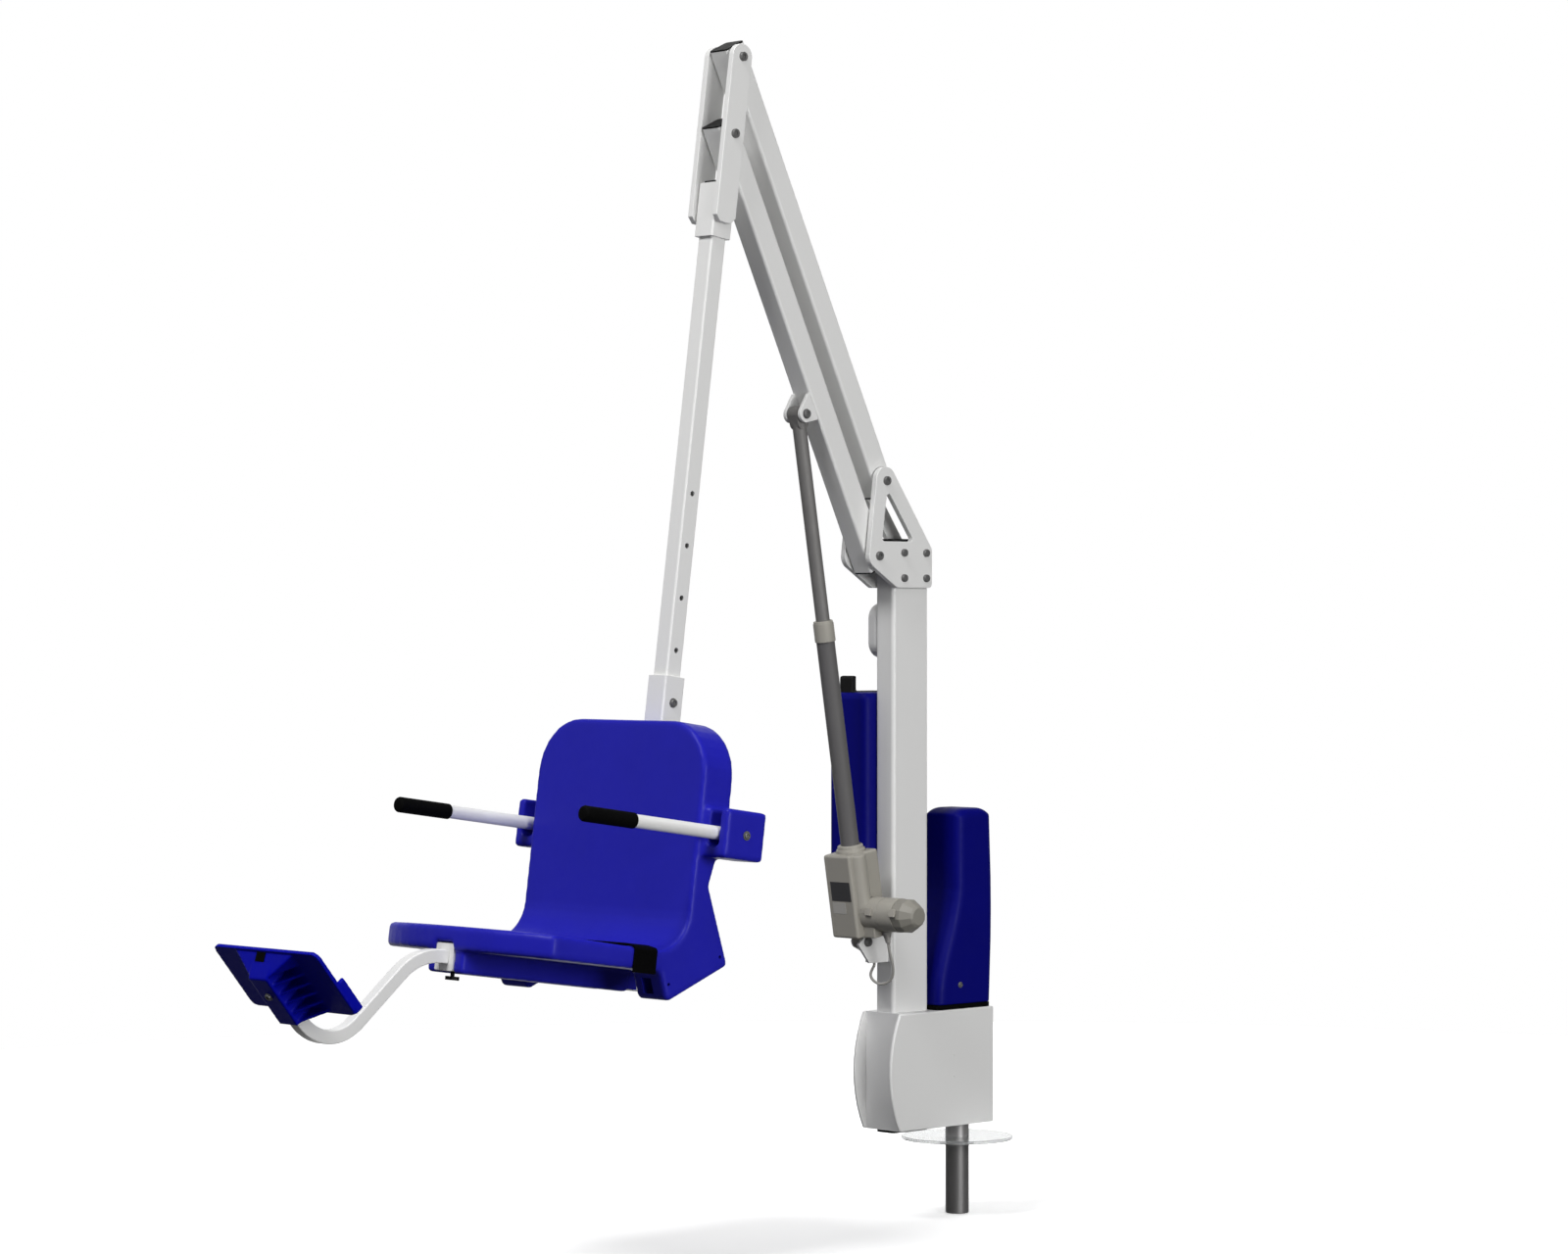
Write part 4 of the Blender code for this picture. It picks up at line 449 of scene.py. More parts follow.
@dataclass(frozen=True)
class Linkage:
    """Frames of the moving parts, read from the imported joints."""

    mast_lower: Vector = joint_place("arm_raise").freeze()
    mast_upper: Vector = joint_place("upper_arm_swing").freeze()
    head_lower: Vector = joint_place("head_level").freeze()
    actuator_pin: Vector = joint_place("actuator_tilt").freeze()
    knob_axis: Vector = Vector(JOINTS["knob_turn"]["axis"]).freeze()
    rod_axis: Vector = Vector(JOINTS["rod_slide"]["axis"]).freeze()

    @property
    def lean(self) -> float:
        """Lean of the head and seat, top to the rear."""
        return atan2(-self.knob_axis.x, self.knob_axis.z)

    @property
    def rise(self) -> float:
        """Elevation of the arms at rest."""
        along = self.head_lower - self.mast_lower
        return atan2(along.z, along.x)

    @property
    def spacing(self) -> float:
        """Distance between the pivots of a pair."""
        return (self.mast_upper - self.mast_lower).length

    @property
    def length(self) -> float:
        """Arm length from pivot to pivot."""
        return (self.head_lower - self.mast_lower).length

    def head(self) -> Matrix:
        """Frame of the head and seat: x forward, z along the pole."""
        return tilted(self.head_lower, -self.lean)

    def arm(self) -> Matrix:
        """Frame of the lower arm: x along it."""
        return tilted(self.mast_lower, -self.rise)

    def actuator(self) -> Matrix:
        """Frame of the actuator: z along its rod."""
        return tilted(self.actuator_pin, atan2(self.rod_axis.x, self.rod_axis.z))


def new_piece(name: str, shape: Shape, sharp: float = SHARP) -> Piece:
    """Turn a bmesh into a linked, smooth-shaded object at the origin.

    Args:
        name: Name of the piece.
        shape: The bmesh, which is freed.
        sharp: Edges steeper than this stay sharp in the shading.

    Returns:
        The object.
    """
    bmesh.ops.recalc_face_normals(shape, faces=shape.faces)
    mesh = bpy.data.meshes.new(name)
    shape.to_mesh(mesh)
    shape.free()
    mesh.shade_smooth()
    mesh.set_sharp_from_angle(angle=sharp)
    made = bpy.data.objects.new(name, mesh)
    bpy.context.scene.collection.objects.link(made)
    return made


def settle(piece: Piece, sharp: float | None = SHARP) -> Piece:
    """Replace a piece's mesh by its evaluated one.

    Args:
        piece: The piece with modifiers.
        sharp: Edges steeper than this stay sharp, or None to keep the shading as it is.

    Returns:
        The same piece, with no modifiers left.
    """
    graph = bpy.context.evaluated_depsgraph_get()
    mesh = bpy.data.meshes.new_from_object(piece.evaluated_get(graph))
    piece.modifiers.clear()
    piece.data = mesh
    if sharp is not None:
        mesh.shade_smooth()
        mesh.set_sharp_from_angle(angle=sharp)
    return piece


def modify(piece: Piece, kind: str, **values: object) -> None:
    """Give a piece a modifier.

    Args:
        piece: The piece.
        kind: Type of the modifier.
        values: Its settings.
    """
    step = piece.modifiers.new(kind, kind)
    for key, value in values.items():
        setattr(step, key, value)


def carve(piece: Piece, *cutters: Shape, operation: str = "DIFFERENCE") -> Piece:
    """Cut shapes out of a piece, or fuse them with it.

    Args:
        piece: The piece to change.
        cutters: Closed shapes, which are freed.
        operation: Boolean operation.

    Returns:
        The same piece.
    """
    for cutter in cutters:
        tool = new_piece("cutter", cutter)
        modify(piece, "BOOLEAN", operation=operation, solver="EXACT", object=tool)
        settle(piece)
        bpy.data.objects.remove(tool)
    return piece


def install(piece: Piece, finish: Finish, body: Body, *nodes: str) -> Piece:
    """Dress a piece, let it ride on its body and stand for CAD nodes.

    Args:
        piece: The finished piece.
        finish: Its finish.
        body: The body that carries it.
        nodes: CAD nodes that it stands for.

    Returns:
        The same piece.
    """
    if piece.type == "MESH":  # broad faces stay flat beside their rounded edges
        modify(piece, "WEIGHTED_NORMAL", mode="FACE_AREA", weight=80, keep_sharp=True)
        settle(piece, None)
    piece.data.materials.clear()
    piece.data.materials.append(finish.material())
    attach(piece, body.value)
    if nodes:
        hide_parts(*nodes)
    LOG.info("piece %s on %s", piece.name, body.value)
    return piece


def put(name: str, shape: Shape, finish: Finish, body: Body, *nodes: str,
        sharp: float = SHARP) -> Piece:
    """Make a piece of a shape and install it."""
    return install(new_piece(name, shape, sharp), finish, body, *nodes)


def moved(shape: Shape, place: Matrix) -> Shape:
    """Move a shape into a frame and hand it back."""
    bmesh.ops.transform(shape, matrix=place, verts=shape.verts)
    return shape


def picked(items: Iterable[object], kind: type) -> list:
    """Pick the items of one kind out of a bmesh result."""
    return [item for item in items if isinstance(item, kind)]


def node_copy(node: str) -> Shape:
    """Copy a CAD node's solid, with its doubles merged and its flat faces whole.

    Args:
        node: Name of the CAD node.

    Returns:
        The bmesh, in the row frame.
    """
    source = frame["nodes"][node]
    shape = bmesh.new()
    shape.from_mesh(source.data)
    moved(shape, source.matrix_world)
    bmesh.ops.remove_doubles(shape, verts=shape.verts, dist=0.00002)
    bmesh.ops.dissolve_limit(shape, angle_limit=radians(0.6), verts=shape.verts, edges=shape.edges)
    return shape


def round_edges(shape: Shape, width: float, segments: int = 3, angle: float = radians(50),
                shortest: float = 0.0) -> Shape:
    """Round the edges of a shape that are steep and long enough.

    Args:
        shape: The shape.
        width: Size of the rounding.
        segments: Faces across it.
        angle: Least angle between the faces of an edge that is rounded.
        shortest: Least length of an edge that is rounded.

    Returns:
        The same shape.
    """
    edges = [edge for edge in shape.edges if edge.is_manifold
             and edge.calc_face_angle() > angle and edge.calc_length() > shortest]
    bmesh.ops.bevel(shape, geom=edges, offset=width, segments=segments, profile=0.5,
                    affect="EDGES", material=-1, clamp_overlap=True)
    return shape


def lathe(profile: Sequence[Flat], place: Matrix, axis: Axis = Axis.Z, steps: int = 40) -> Shape:
    """Turn a profile round an axis.

    Args:
        profile: (radius, height) points; a closed solid starts and ends on the axis.
        place: Frame of the piece.
        axis: Turning axis in that frame.
        steps: Faces round the axis.

    Returns:
        The turned shape.
    """
    shape = bmesh.new()
    verts = [shape.verts.new((radius, 0.0, height)) for radius, height in profile]
    edges = [shape.edges.new(pair) for pair in zip(verts, verts[1:])]
    bmesh.ops.spin(shape, geom=verts + edges, cent=(0, 0, 0), axis=(0, 0, 1), angle=2 * pi,
                   steps=steps, use_merge=True)
    bmesh.ops.remove_doubles(shape, verts=shape.verts, dist=0.000005)
    return moved(shape, place @ axis.turn())


def slab(low: Sequence[float], high: Sequence[float], place: Matrix, edge: float = 0.0,
         segments: int = 3) -> Shape:
    """Make a box between two corners of a frame.

    Args:
        low: Lowest corner.
        high: Highest corner.
        place: The frame.
        edge: Rounding of its edges.
        segments: Faces across the rounding.

    Returns:
        The box.
    """
    shape = bmesh.new()
    middle = [(a + b) / 2 for a, b in zip(low, high)]
    size = Matrix.Diagonal((*(b - a for a, b in zip(low, high)), 1.0))
    bmesh.ops.create_cube(shape, size=1.0, matrix=Matrix.Translation(middle) @ size)
    if edge:
        round_edges(shape, edge, segments)
    return moved(shape, place)


def drum(radius: float, low: float, high: float, place: Matrix, axis: Axis = Axis.Y,
         sides: int = 32) -> Shape:
    """Make a plain cylinder between two levels of an axis, for cutting or fusing."""
    return lathe([(0.0, low), (radius, low), (radius, high), (0.0, high)], place, axis, sides)


def thicken(shape: Shape, step: Point) -> None:
    """Extrude the one face of a flat shape into a solid.

    Args:
        shape: The shape.
        step: Way from the face to its copy.
    """
    grown = bmesh.ops.extrude_face_region(shape, geom=shape.faces[:])["geom"]
    bmesh.ops.translate(shape, verts=picked(grown, bmesh.types.BMVert), vec=step)
    bmesh.ops.recalc_face_normals(shape, faces=shape.faces)


def outline_plate(circles: Sequence[Point], low: float, high: float, place: Matrix,
                  sides: int = 72) -> Shape:
    """Make a plate whose outline is stretched round circles.

    Args:
        circles: (x, z, radius) in the frame.
        low: One face along the frame's y.
        high: The other face.
        place: The frame.
        sides: Points on each circle.

    Returns:
        The plate.
    """
    shape = bmesh.new()
    for x, z, radius in circles:
        centre = shift(x, low, z) @ Matrix.Rotation(pi / 2, 4, "X")
        bmesh.ops.create_circle(shape, cap_ends=False, segments=sides, radius=radius, matrix=centre)
    found = bmesh.ops.convex_hull(shape, input=shape.verts[:])
    unused = picked(found["geom_interior"] + found["geom_unused"], bmesh.types.BMVert)
    bmesh.ops.delete(shape, geom=list(set(unused)), context="VERTS")
    bmesh.ops.dissolve_limit(shape, angle_limit=radians(1), verts=shape.verts, edges=shape.edges)
    flat = max(shape.faces, key=lambda face: face.calc_area())
    others = [face for face in shape.faces if face is not flat]
    bmesh.ops.delete(shape, geom=others, context="FACES")
    thicken(shape, (0.0, high - low, 0.0))
    return moved(shape, place)


def square_bar(half: Flat, corner: float, low: float, high: float, place: Matrix,
               axis: Axis = Axis.Z, centre: Flat = (0.0, 0.0)) -> Shape:
    """Make a bar of rounded rectangular section.

    Args:
        half: Half sizes along the other two axes, in cyclic order.
        corner: Corner radius.
        low: Start along the axis.
        high: End along the axis.
        place: The frame.
        axis: Long axis in the frame, X or Z.
        centre: Middle of the section.

    Returns:
        The bar.
    """
    shape = bmesh.new()
    shape.faces.new([shape.verts.new((centre[0] + a * half[0], centre[1] + b * half[1], low))
                     for a, b in ((1, 1), (-1, 1), (-1, -1), (1, -1))])
    bmesh.ops.bevel(shape, geom=shape.verts[:], offset=corner, segments=6, profile=0.5,
                    affect="VERTICES", material=-1, clamp_overlap=True)
    thicken(shape, (0.0, 0.0, high - low))
    swap = Matrix(((0, 0, 1, 0), (1, 0, 0, 0), (0, 1, 0, 0), (0, 0, 0, 1)))
    return moved(shape, place @ (swap if axis is Axis.X else ORIGIN))


def merged(*shapes: Shape) -> Shape:
    """Put several separate shapes into one bmesh.

    Args:
        shapes: The shapes, which are freed.

    Returns:
        One bmesh that holds them all.
    """
    whole = bmesh.new()
    for shape in shapes:
        carrier = bpy.data.meshes.new("carrier")
        shape.to_mesh(carrier)
        shape.free()
        whole.from_mesh(carrier)
        bpy.data.meshes.remove(carrier)
    return whole


def softened(node: str, voxel: float, passes: int) -> Piece:
    """Make a moulded copy of a CAD node, with its edges and inner corners rounded.

    Args:
        node: The CAD node.
        voxel: Size of the mesh.
        passes: Smoothing passes.

    Returns:
        The piece, named after the node.
    """
    piece = new_piece(node + "_moulded", node_copy(node))
    modify(piece, "REMESH", mode="VOXEL", voxel_size=voxel)
    modify(piece, "SMOOTH", factor=0.5, iterations=passes)
    return settle(piece, radians(180))


def dressed_copy(node: str, finish: Finish, body: Body, width: float = 0.0, segments: int = 3,
                 shortest: float = 0.012) -> Piece:
    """Copy a CAD node with rounded long edges, to stand for the node.

    Args:
        node: The CAD node.
        finish: Its finish.
        body: The body that carries it.
        width: Size of the rounding, or 0 for none.
        segments: Faces across the rounding.
        shortest: Least length of an edge that is rounded.

    Returns:
        The piece.
    """
    shape = node_copy(node)
    if width:
        round_edges(shape, width, segments, radians(55), shortest)
    return put(node + "_dressed", shape, finish, body, node, sharp=radians(48))


@dataclass(frozen=True)
class SocketBolt:
    """Bolt with domed heads and round sockets, or plain heads if the socket has no depth."""

    head_radius: float = 0.0090
    head_height: float = 0.0065
    socket_radius: float = 0.0036
    socket_depth: float = 0.0034
    washer_radius: float = 0.0090
    washer_height: float = 0.0012
    shank_radius: float = 0.0060
    washer_step: float = 0.0001
    drill_tip: float = 0.0008
    # Points of the dome, the socket's lip and a plain end: share of the radius, and the height.
    dome: Run = ((1.0, 0.72), (0.96, 0.86), (0.84, 1.0))
    lip: Run = ((1.25, 0.0), (1.05, 0.0005), (1.0, 0.001))
    plain: Run = ((0.5, 0.0002), (0.0, 0.0003))

    def head(self, place: Matrix, way: int, seat: float) -> Shape:
        """Make one head.

        Args:
            place: Frame with the bolt along y.
            way: +1 or -1, the side that the head is on.
            seat: Distance of the clamped face from the frame's middle.

        Returns:
            The head with its washer and socket.
        """
        r, h, w = self.head_radius, self.head_height, self.washer_height
        profile = [(0.0, 0.0), (self.washer_radius, 0.0), (self.washer_radius, w)]
        profile.append((r, w + self.washer_step))
        profile += [(r * across, h * up) for across, up in self.dome]
        if self.socket_depth:
            inner, floor = self.socket_radius, h - self.socket_depth
            profile += [(inner * across, h - down) for across, down in self.lip]
            profile += [(inner, floor), (0.0, floor - self.drill_tip)]
        else:
            profile += [(r * across, h + up) for across, up in self.plain]
        turn = ORIGIN if way > 0 else Matrix.Rotation(pi, 4, "X")
        return lathe(profile, place @ shift(y=way * seat) @ turn, Axis.Y, 24)

    def pair(self, place: Matrix, half_grip: float, body: Body, node: str) -> None:
        """Build both heads and the shank of a through bolt.

        Args:
            place: Frame with the bolt along y.
            half_grip: Half of the clamped thickness.
            body: The body that carries it.
            node: The CAD bolt that it stands for.
        """
        shank = drum(self.shank_radius, -half_grip, half_grip, place, Axis.Y, 20)
        heads = [self.head(place, way, half_grip) for way in (1, -1)]
        put(node + "_head", merged(shank, *heads), BOLT_STEEL, body, node)


PIVOT_BOLT = SocketBolt()
MAST_BOLT = SocketBolt(0.00775, 0.0062, 0.0, 0.0, 0.00775, 0.0010, 0.0045)
COVER_SCREW = SocketBolt(0.0052, 0.0030, 0.0022, 0.0016, 0.0062, 0.0008)
EAR_BOLT = SocketBolt(0.0085, 0.0055, 0.0036, 0.0028, 0.0100, 0.0010)
SLEEVE_BOLT = SocketBolt(0.0076, 0.0058, 0.0034, 0.0028, 0.0094, 0.0010)
ARMREST_BOLT = SocketBolt(0.0062, 0.0040, 0.0030, 0.0024, 0.0088, 0.0011, 0.0045)
PLATE_BOLT = SocketBolt(0.0068, 0.0050, 0.0029, 0.0024, 0.0080, 0.0010)
BRACKET_BOLT = SocketBolt(0.0093, 0.0062, 0.0038, 0.0030, 0.0100, 0.0008)


@dataclass(frozen=True)
class AnchorBase:
    """Anchor post, the clear disc on the deck and the fixed gear."""

    edge: float = 0.0012
    foot_rim: float = 0.005
    foot_hollow: float = 0.004
    disc_edge: float = 0.0008
    disc_gap: float = 0.0004

    def build(self) -> None:
        """Build the post, disc and gear."""
        low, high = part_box("anchor_post")
        r = (high[0] - low[0]) / 2
        e, rim, hollow = self.edge, r - self.foot_rim, low[2] + self.foot_hollow
        post = [(0.0, hollow), (rim, hollow), (rim, low[2]), (r - e, low[2]), (r, low[2] + e),
                (r, high[2] - e), (r - e, high[2]), (0.0, high[2])]
        put("post_turned", lathe(post, ORIGIN, Axis.Z, 72), POST_STEEL, Body.BASE, "anchor_post")
        low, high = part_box("deck_disc")
        outer, bore, e = (high[0] - low[0]) / 2, r + self.disc_gap, self.disc_edge
        ring = [(bore, low[2]), (outer - e, low[2]), (outer, low[2] + e), (outer, high[2] - e),
                (outer - e, high[2]), (bore, high[2]), (bore, low[2])]
        put("disc_turned", lathe(ring, ORIGIN, Axis.Z, 120), CLEAR_SHEET, Body.BASE, "deck_disc")
        dressed_copy("post_gear", GEAR_STEEL, Body.BASE)


@dataclass(frozen=True)
class TurningDrive:
    """Base housing, drive and rear cover."""

    edge: float = 0.0014
    shortest_edge: float = 0.02
    gasket_edge: float = 0.0012
    cover_voxel: float = 0.0026
    cover_passes: int = 3
    cheek_x: float = 0.0658
    cheek_levels: Flat = (0.3313, 0.2875)
    cheek_radius: float = 0.0021
    cheek_depth: float = 0.004
    cover_screw: Flat = (0.044, 0.039)
    foot_bolt: Flat = (-0.0174, 0.030)
    sunk: float = 0.0002

    def build(self) -> None:
        """Build the housing, the hidden drive, the cover and their screws."""
        self.build_housing()
        dressed_copy("slew_bush", BRONZE, Body.MAST)
        dressed_copy("slew_motor", DRIVE_COAT, Body.MAST)
        dressed_copy("drive_pinion", GEAR_STEEL, Body.PINION)
        cover = softened("rear_cover", self.cover_voxel, self.cover_passes)
        install(cover, BLUE_COVER, Body.MAST, "rear_cover")
        dressed_copy("cover_gasket", BLACK_FOAM, Body.MAST, self.gasket_edge, 2)
        self.build_screws()

    def build_housing(self) -> None:
        """Build the welded housing with two small screw holes in its near cheek."""
        shape = node_copy("base_housing")
        round_edges(shape, self.edge, 2, CORNER, self.shortest_edge)
        housing = new_piece("housing_welded", shape, radians(35))
        face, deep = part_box("base_housing")[1][1], self.cheek_depth
        holes = [drum(self.cheek_radius, face - deep, face + deep, shift(self.cheek_x, 0.0, z),
                      Axis.Y, 20) for z in self.cheek_levels]
        install(carve(housing, *holes), WHITE_COAT, Body.MAST, "base_housing")

    def build_screws(self) -> None:
        """Build the screws of the rear cover and the bolt below the housing."""
        low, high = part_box("rear_cover")
        x, up = self.cover_screw
        for (side, way), face in zip(SIDES, (high[1], -low[1])):
            head = COVER_SCREW.head(shift(x, 0.0, low[2] + up), way, face - self.sunk)
            put(f"cover_screw_{side}", head, BOLT_STEEL, Body.MAST)
        down = shift(*self.foot_bolt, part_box("base_housing")[0][2]) @ Axis.Y.turn()
        put("housing_foot_bolt", COVER_SCREW.head(down, 1, -self.sunk), BOLT_STEEL, Body.MAST)


@dataclass(frozen=True)
class Mast:
    """Mast tube, its caps, the two pivot plates and their bolts."""

    link: Linkage
    corner: float = 0.008
    cap_edge: float = 0.0012
    thick: float = 0.0127
    lobe_upper: float = 0.028
    lobe_lower: float = 0.0265
    foot_round: float = 0.010
    foot_reach: float = 0.0022
    shoulder: float = 1.357
    window_round: float = 0.006
    window_drop: Flat = (0.0075, 0.0324)
    window_back: float = 0.0635
    window_front: float = 0.0165
    edge: float = 0.0014
    pad_low: float = 0.008
    pad_high: float = 0.004

    def build(self) -> None:
        """Build the tube, caps, plates and bolts."""
        low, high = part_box("mast_tube")
        middle = ((low[0] + high[0]) / 2, 0.0)
        half = ((high[0] - low[0]) / 2, high[1])
        tube = square_bar(half, self.corner, low[2], high[2], ORIGIN, Axis.Z, middle)
        put("mast_tube_drawn", tube, WHITE_COAT, Body.MAST, "mast_tube", sharp=DRAWN)
        for node in ("mast_foot_cap", "mast_top_cap"):
            dressed_copy(node, BLACK_PLASTIC, Body.MAST, self.cap_edge, 3, 0.006)
        for side, way in SIDES:
            self.build_plate("mast_plate_" + side, way, high)
        self.build_bolts()

    def build_plate(self, node: str, way: int, mast: Vector) -> None:
        """Build one pivot plate with its window and the pad behind it.

        Args:
            node: The CAD plate.
            way: +1 near, -1 far.
            mast: Highest corner of the mast tube.
        """
        low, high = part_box(node)
        upper, lower = self.link.mast_upper, self.link.mast_lower
        outer = max(way * low[1], way * high[1])
        inner = outer - self.thick
        r, w = self.foot_round, self.window_round
        faces = sided(way, inner, outer)
        plate = new_piece(node + "_cut", outline_plate([
            (upper.x, upper.z, self.lobe_upper), (lower.x, lower.z, self.lobe_lower),
            (low[0] + r, low[2] + r, r), (low[0] + r, self.shoulder, r),
            (mast[0] + self.foot_reach, low[2] + r, r)], *faces, ORIGIN))
        sill = mast[2] + w
        back, down = self.window_drop
        carve(plate, outline_plate([
            (upper.x - back, upper.z - down, w), (low[0] + self.window_back, sill, w),
            (lower.x - self.window_front, sill, w)], faces[0] - OVERRUN,
            faces[1] + OVERRUN, ORIGIN))
        modify(plate, "BEVEL", width=self.edge, segments=3, limit_method="ANGLE",
               angle_limit=CORNER)
        settle(plate)
        pad = sided(way, mast[1] + GAP, inner + self.pad_high)
        carve(plate, slab((low[0] + self.pad_low, pad[0], low[2] + self.pad_low),
                          (mast[0] - self.pad_high, pad[1], mast[2] - self.pad_high), ORIGIN),
              operation="UNION")
        install(plate, WHITE_COAT, Body.MAST, node)

    def build_bolts(self) -> None:
        """Build the four mast bolts and the two pivot bolts."""
        bolts = [(f"mast_bolt_{i}", MAST_BOLT) for i in range(1, 5)]
        bolts += [(f"pivot_bolt_mast_{end}", PIVOT_BOLT) for end in ("lower", "upper")]
        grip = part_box("mast_plate_near")[1][1]
        for node, bolt in bolts:
            low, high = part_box(node)
            place = shift((low[0] + high[0]) / 2, 0.0, (low[2] + high[2]) / 2)
            bolt.pair(place, grip, Body.MAST, node)


@dataclass(frozen=True)
class LiftingArms:
    """The two square arms, their caps and the ears for the actuator rod."""

    link: Linkage
    half: float = 0.0254
    corner: float = 0.006
    above: float = 0.006
    tail_mast: float = 0.028
    tail_head: float = 0.021
    tube_radius: float = 0.013
    tube_reach: float = 0.0282
    cap_edge: float = 0.0008
    pin_along: float = 0.332
    pin_below: float = 0.0455
    ear_radius: float = 0.017
    ear_foot: Flat = (-0.020, 0.031)
    ear_foot_round: float = 0.003
    ear_faces: Flat = (0.0164, 0.0244)
    ear_edge: float = 0.0011

    def build(self) -> None:
        """Build both arms and the ears."""
        for name, pivot, body in (("lower_arm", self.link.mast_lower, Body.LOWER_ARM),
                                  ("upper_arm", self.link.mast_upper, Body.UPPER_ARM)):
            place = tilted(pivot, -self.link.rise)
            length = self.link.length
            shape = square_bar((self.half, self.half), self.corner, -self.tail_mast,
                               length + self.tail_head, place, Axis.X, (0.0, self.above))
            arm = new_piece(name + "_drawn", shape, DRAWN)
            reach = self.tube_reach
            carve(arm, *(drum(self.tube_radius, -reach, reach, place @ shift(along))
                         for along in (0.0, length)), operation="UNION")
            install(settle(arm, DRAWN), WHITE_COAT, body, name)
            for end in ("_cap_mast", "_cap_head"):
                dressed_copy(name + end, BLACK_PLASTIC, body, self.cap_edge, 2, 0.004)
        self.build_ears()

    def build_ears(self) -> None:
        """Build the two ears welded under the lower arm, with the heads of their bolt."""
        place = self.link.arm()
        under = self.above - self.half - GAP
        r = self.ear_foot_round
        circles = [(self.pin_along, -self.pin_below, self.ear_radius)]
        circles += [(self.pin_along + offset, under - r, r) for offset in self.ear_foot]
        pin = place @ shift(self.pin_along, 0.0, -self.pin_below)
        for side, way in SIDES:
            node = "rod_ear_" + side
            ear = outline_plate(circles, *sided(way, *self.ear_faces), place)
            put(node + "_cut", round_edges(ear, self.ear_edge, 3, CORNER), WHITE_COAT,
                Body.LOWER_ARM, node)
            head = EAR_BOLT.head(pin, way, self.ear_faces[1])
            put(node + "_bolt", head, BOLT_STEEL, Body.LOWER_ARM)


@dataclass(frozen=True)
class HeadAndPole:
    """Head plates, sleeves, the seat pole and their bolts."""

    link: Linkage
    lobe: float = 0.0254
    foot: float = 0.1757
    foot_round: float = 0.003
    chamfer: float = 0.010
    edge: float = 0.0014
    inner: float = 0.028575
    outer: float = 0.041275
    pad_depth: float = 0.004
    pole_back: float = 0.007
    sleeve_half: float = 0.0254
    pole_half: float = 0.01905
    wall: float = 0.0042
    corner: float = 0.004
    bore_corner: float = 0.0025
    tube_edge: float = 0.0008
    head_sleeve: Flat = (-0.203, -0.097)
    cap_span: Flat = (-0.004, 0.0055)
    cap_edge: float = 0.0015
    pole: Flat = (-1.290, -0.108)
    seat_sleeve: Flat = (-1.6654, -1.0605)
    first_hole: float = -0.705
    hole_pitch: float = 0.1016
    hole_count: int = 4
    hole_radius: float = 0.0052
    bolt_level: float = -1.1114

    def build(self) -> None:
        """Build the plates, sleeves, pole and bolts."""
        place = self.link.head()
        axis = place @ shift(-self.pole_back)
        for side, way in SIDES:
            self.build_plate("head_plate_" + side, way, place)
        for end, level in (("lower", 0.0), ("upper", self.link.spacing)):
            PIVOT_BOLT.pair(place @ shift(z=level), self.outer, Body.HEAD, f"pivot_bolt_head_{end}")
        sleeve_bore = self.pole_half + GAP
        self.build_tube("head_sleeve", self.sleeve_half, sleeve_bore, self.head_sleeve, axis)
        h = self.pole_half - GAP
        low, high = (self.head_sleeve[1] + z for z in self.cap_span)
        cap = slab((-h, -h, low), (h, h, high), axis, self.cap_edge, 2)
        put("pole_cap", cap, BLACK_PLASTIC, Body.HEAD)
        levels = [self.first_hole - i * self.hole_pitch for i in range(self.hole_count)]
        holes = [drum(self.hole_radius, -THROUGH, THROUGH, axis @ shift(z=level), Axis.Y, 28)
                 for level in levels]
        bore = self.pole_half - self.wall
        self.build_tube("seat_pole", self.pole_half, bore, self.pole, axis, holes)
        self.build_tube("seat_sleeve", self.sleeve_half, sleeve_bore, self.seat_sleeve, axis)
        bolt_place = axis @ shift(z=self.bolt_level)
        SLEEVE_BOLT.pair(bolt_place, self.sleeve_half, Body.HEAD, "sleeve_bolt")

    def build_plate(self, node: str, way: int, place: Matrix) -> None:
        """Build one head plate with its chamfered foot and the pad beside the sleeve.

        Args:
            node: The CAD plate.
            way: +1 near, -1 far.
            place: Frame of the head.
        """
        r, c = self.foot_round, self.chamfer
        circles = [(0.0, self.link.spacing, self.lobe)]
        for sign in (-1, 1):
            circles.append((sign * (self.lobe - r), -self.foot + c + r, r))
            circles.append((sign * (self.lobe - c - r), -self.foot + r, r))
        shape = outline_plate(circles, *sided(way, self.inner, self.outer), place)
        plate = new_piece(node + "_cut", round_edges(shape, self.edge, 3, CORNER))
        low, high = sided(way, self.sleeve_half + GAP, self.inner + self.pad_depth)
        third = self.sleeve_half * 2 / 3
        pad = slab((-self.pole_back - third, low, -self.foot + c),
                   (-self.pole_back + third, high, self.head_sleeve[1] - c), place)
        install(carve(plate, pad, operation="UNION"), WHITE_COAT, Body.HEAD, node)

    def build_tube(self, node: str, half: float, bore: float, span: Flat, axis: Matrix,
                   holes: Sequence[Shape] = ()) -> None:
        """Build a square tube on the pole's axis.

        Args:
            node: The CAD tube.
            half: Half of its side.
            bore: Half of its bore's side.
            span: Foot and top along the pole.
            axis: Frame on the pole's axis.
            holes: Cutters for its cross holes.
        """
        outer = square_bar((half, half), self.corner, *span, axis)
        round_edges(outer, self.tube_edge, 2, CORNER, 0.001)
        tube = new_piece(node + "_drawn", outer, DRAWN)
        inside = (span[0] - OVERRUN, span[1] + OVERRUN)
        carve(tube, square_bar((bore, bore), self.bore_corner, *inside, axis), *holes)
        install(settle(tube, DRAWN), WHITE_COAT, Body.HEAD, node)


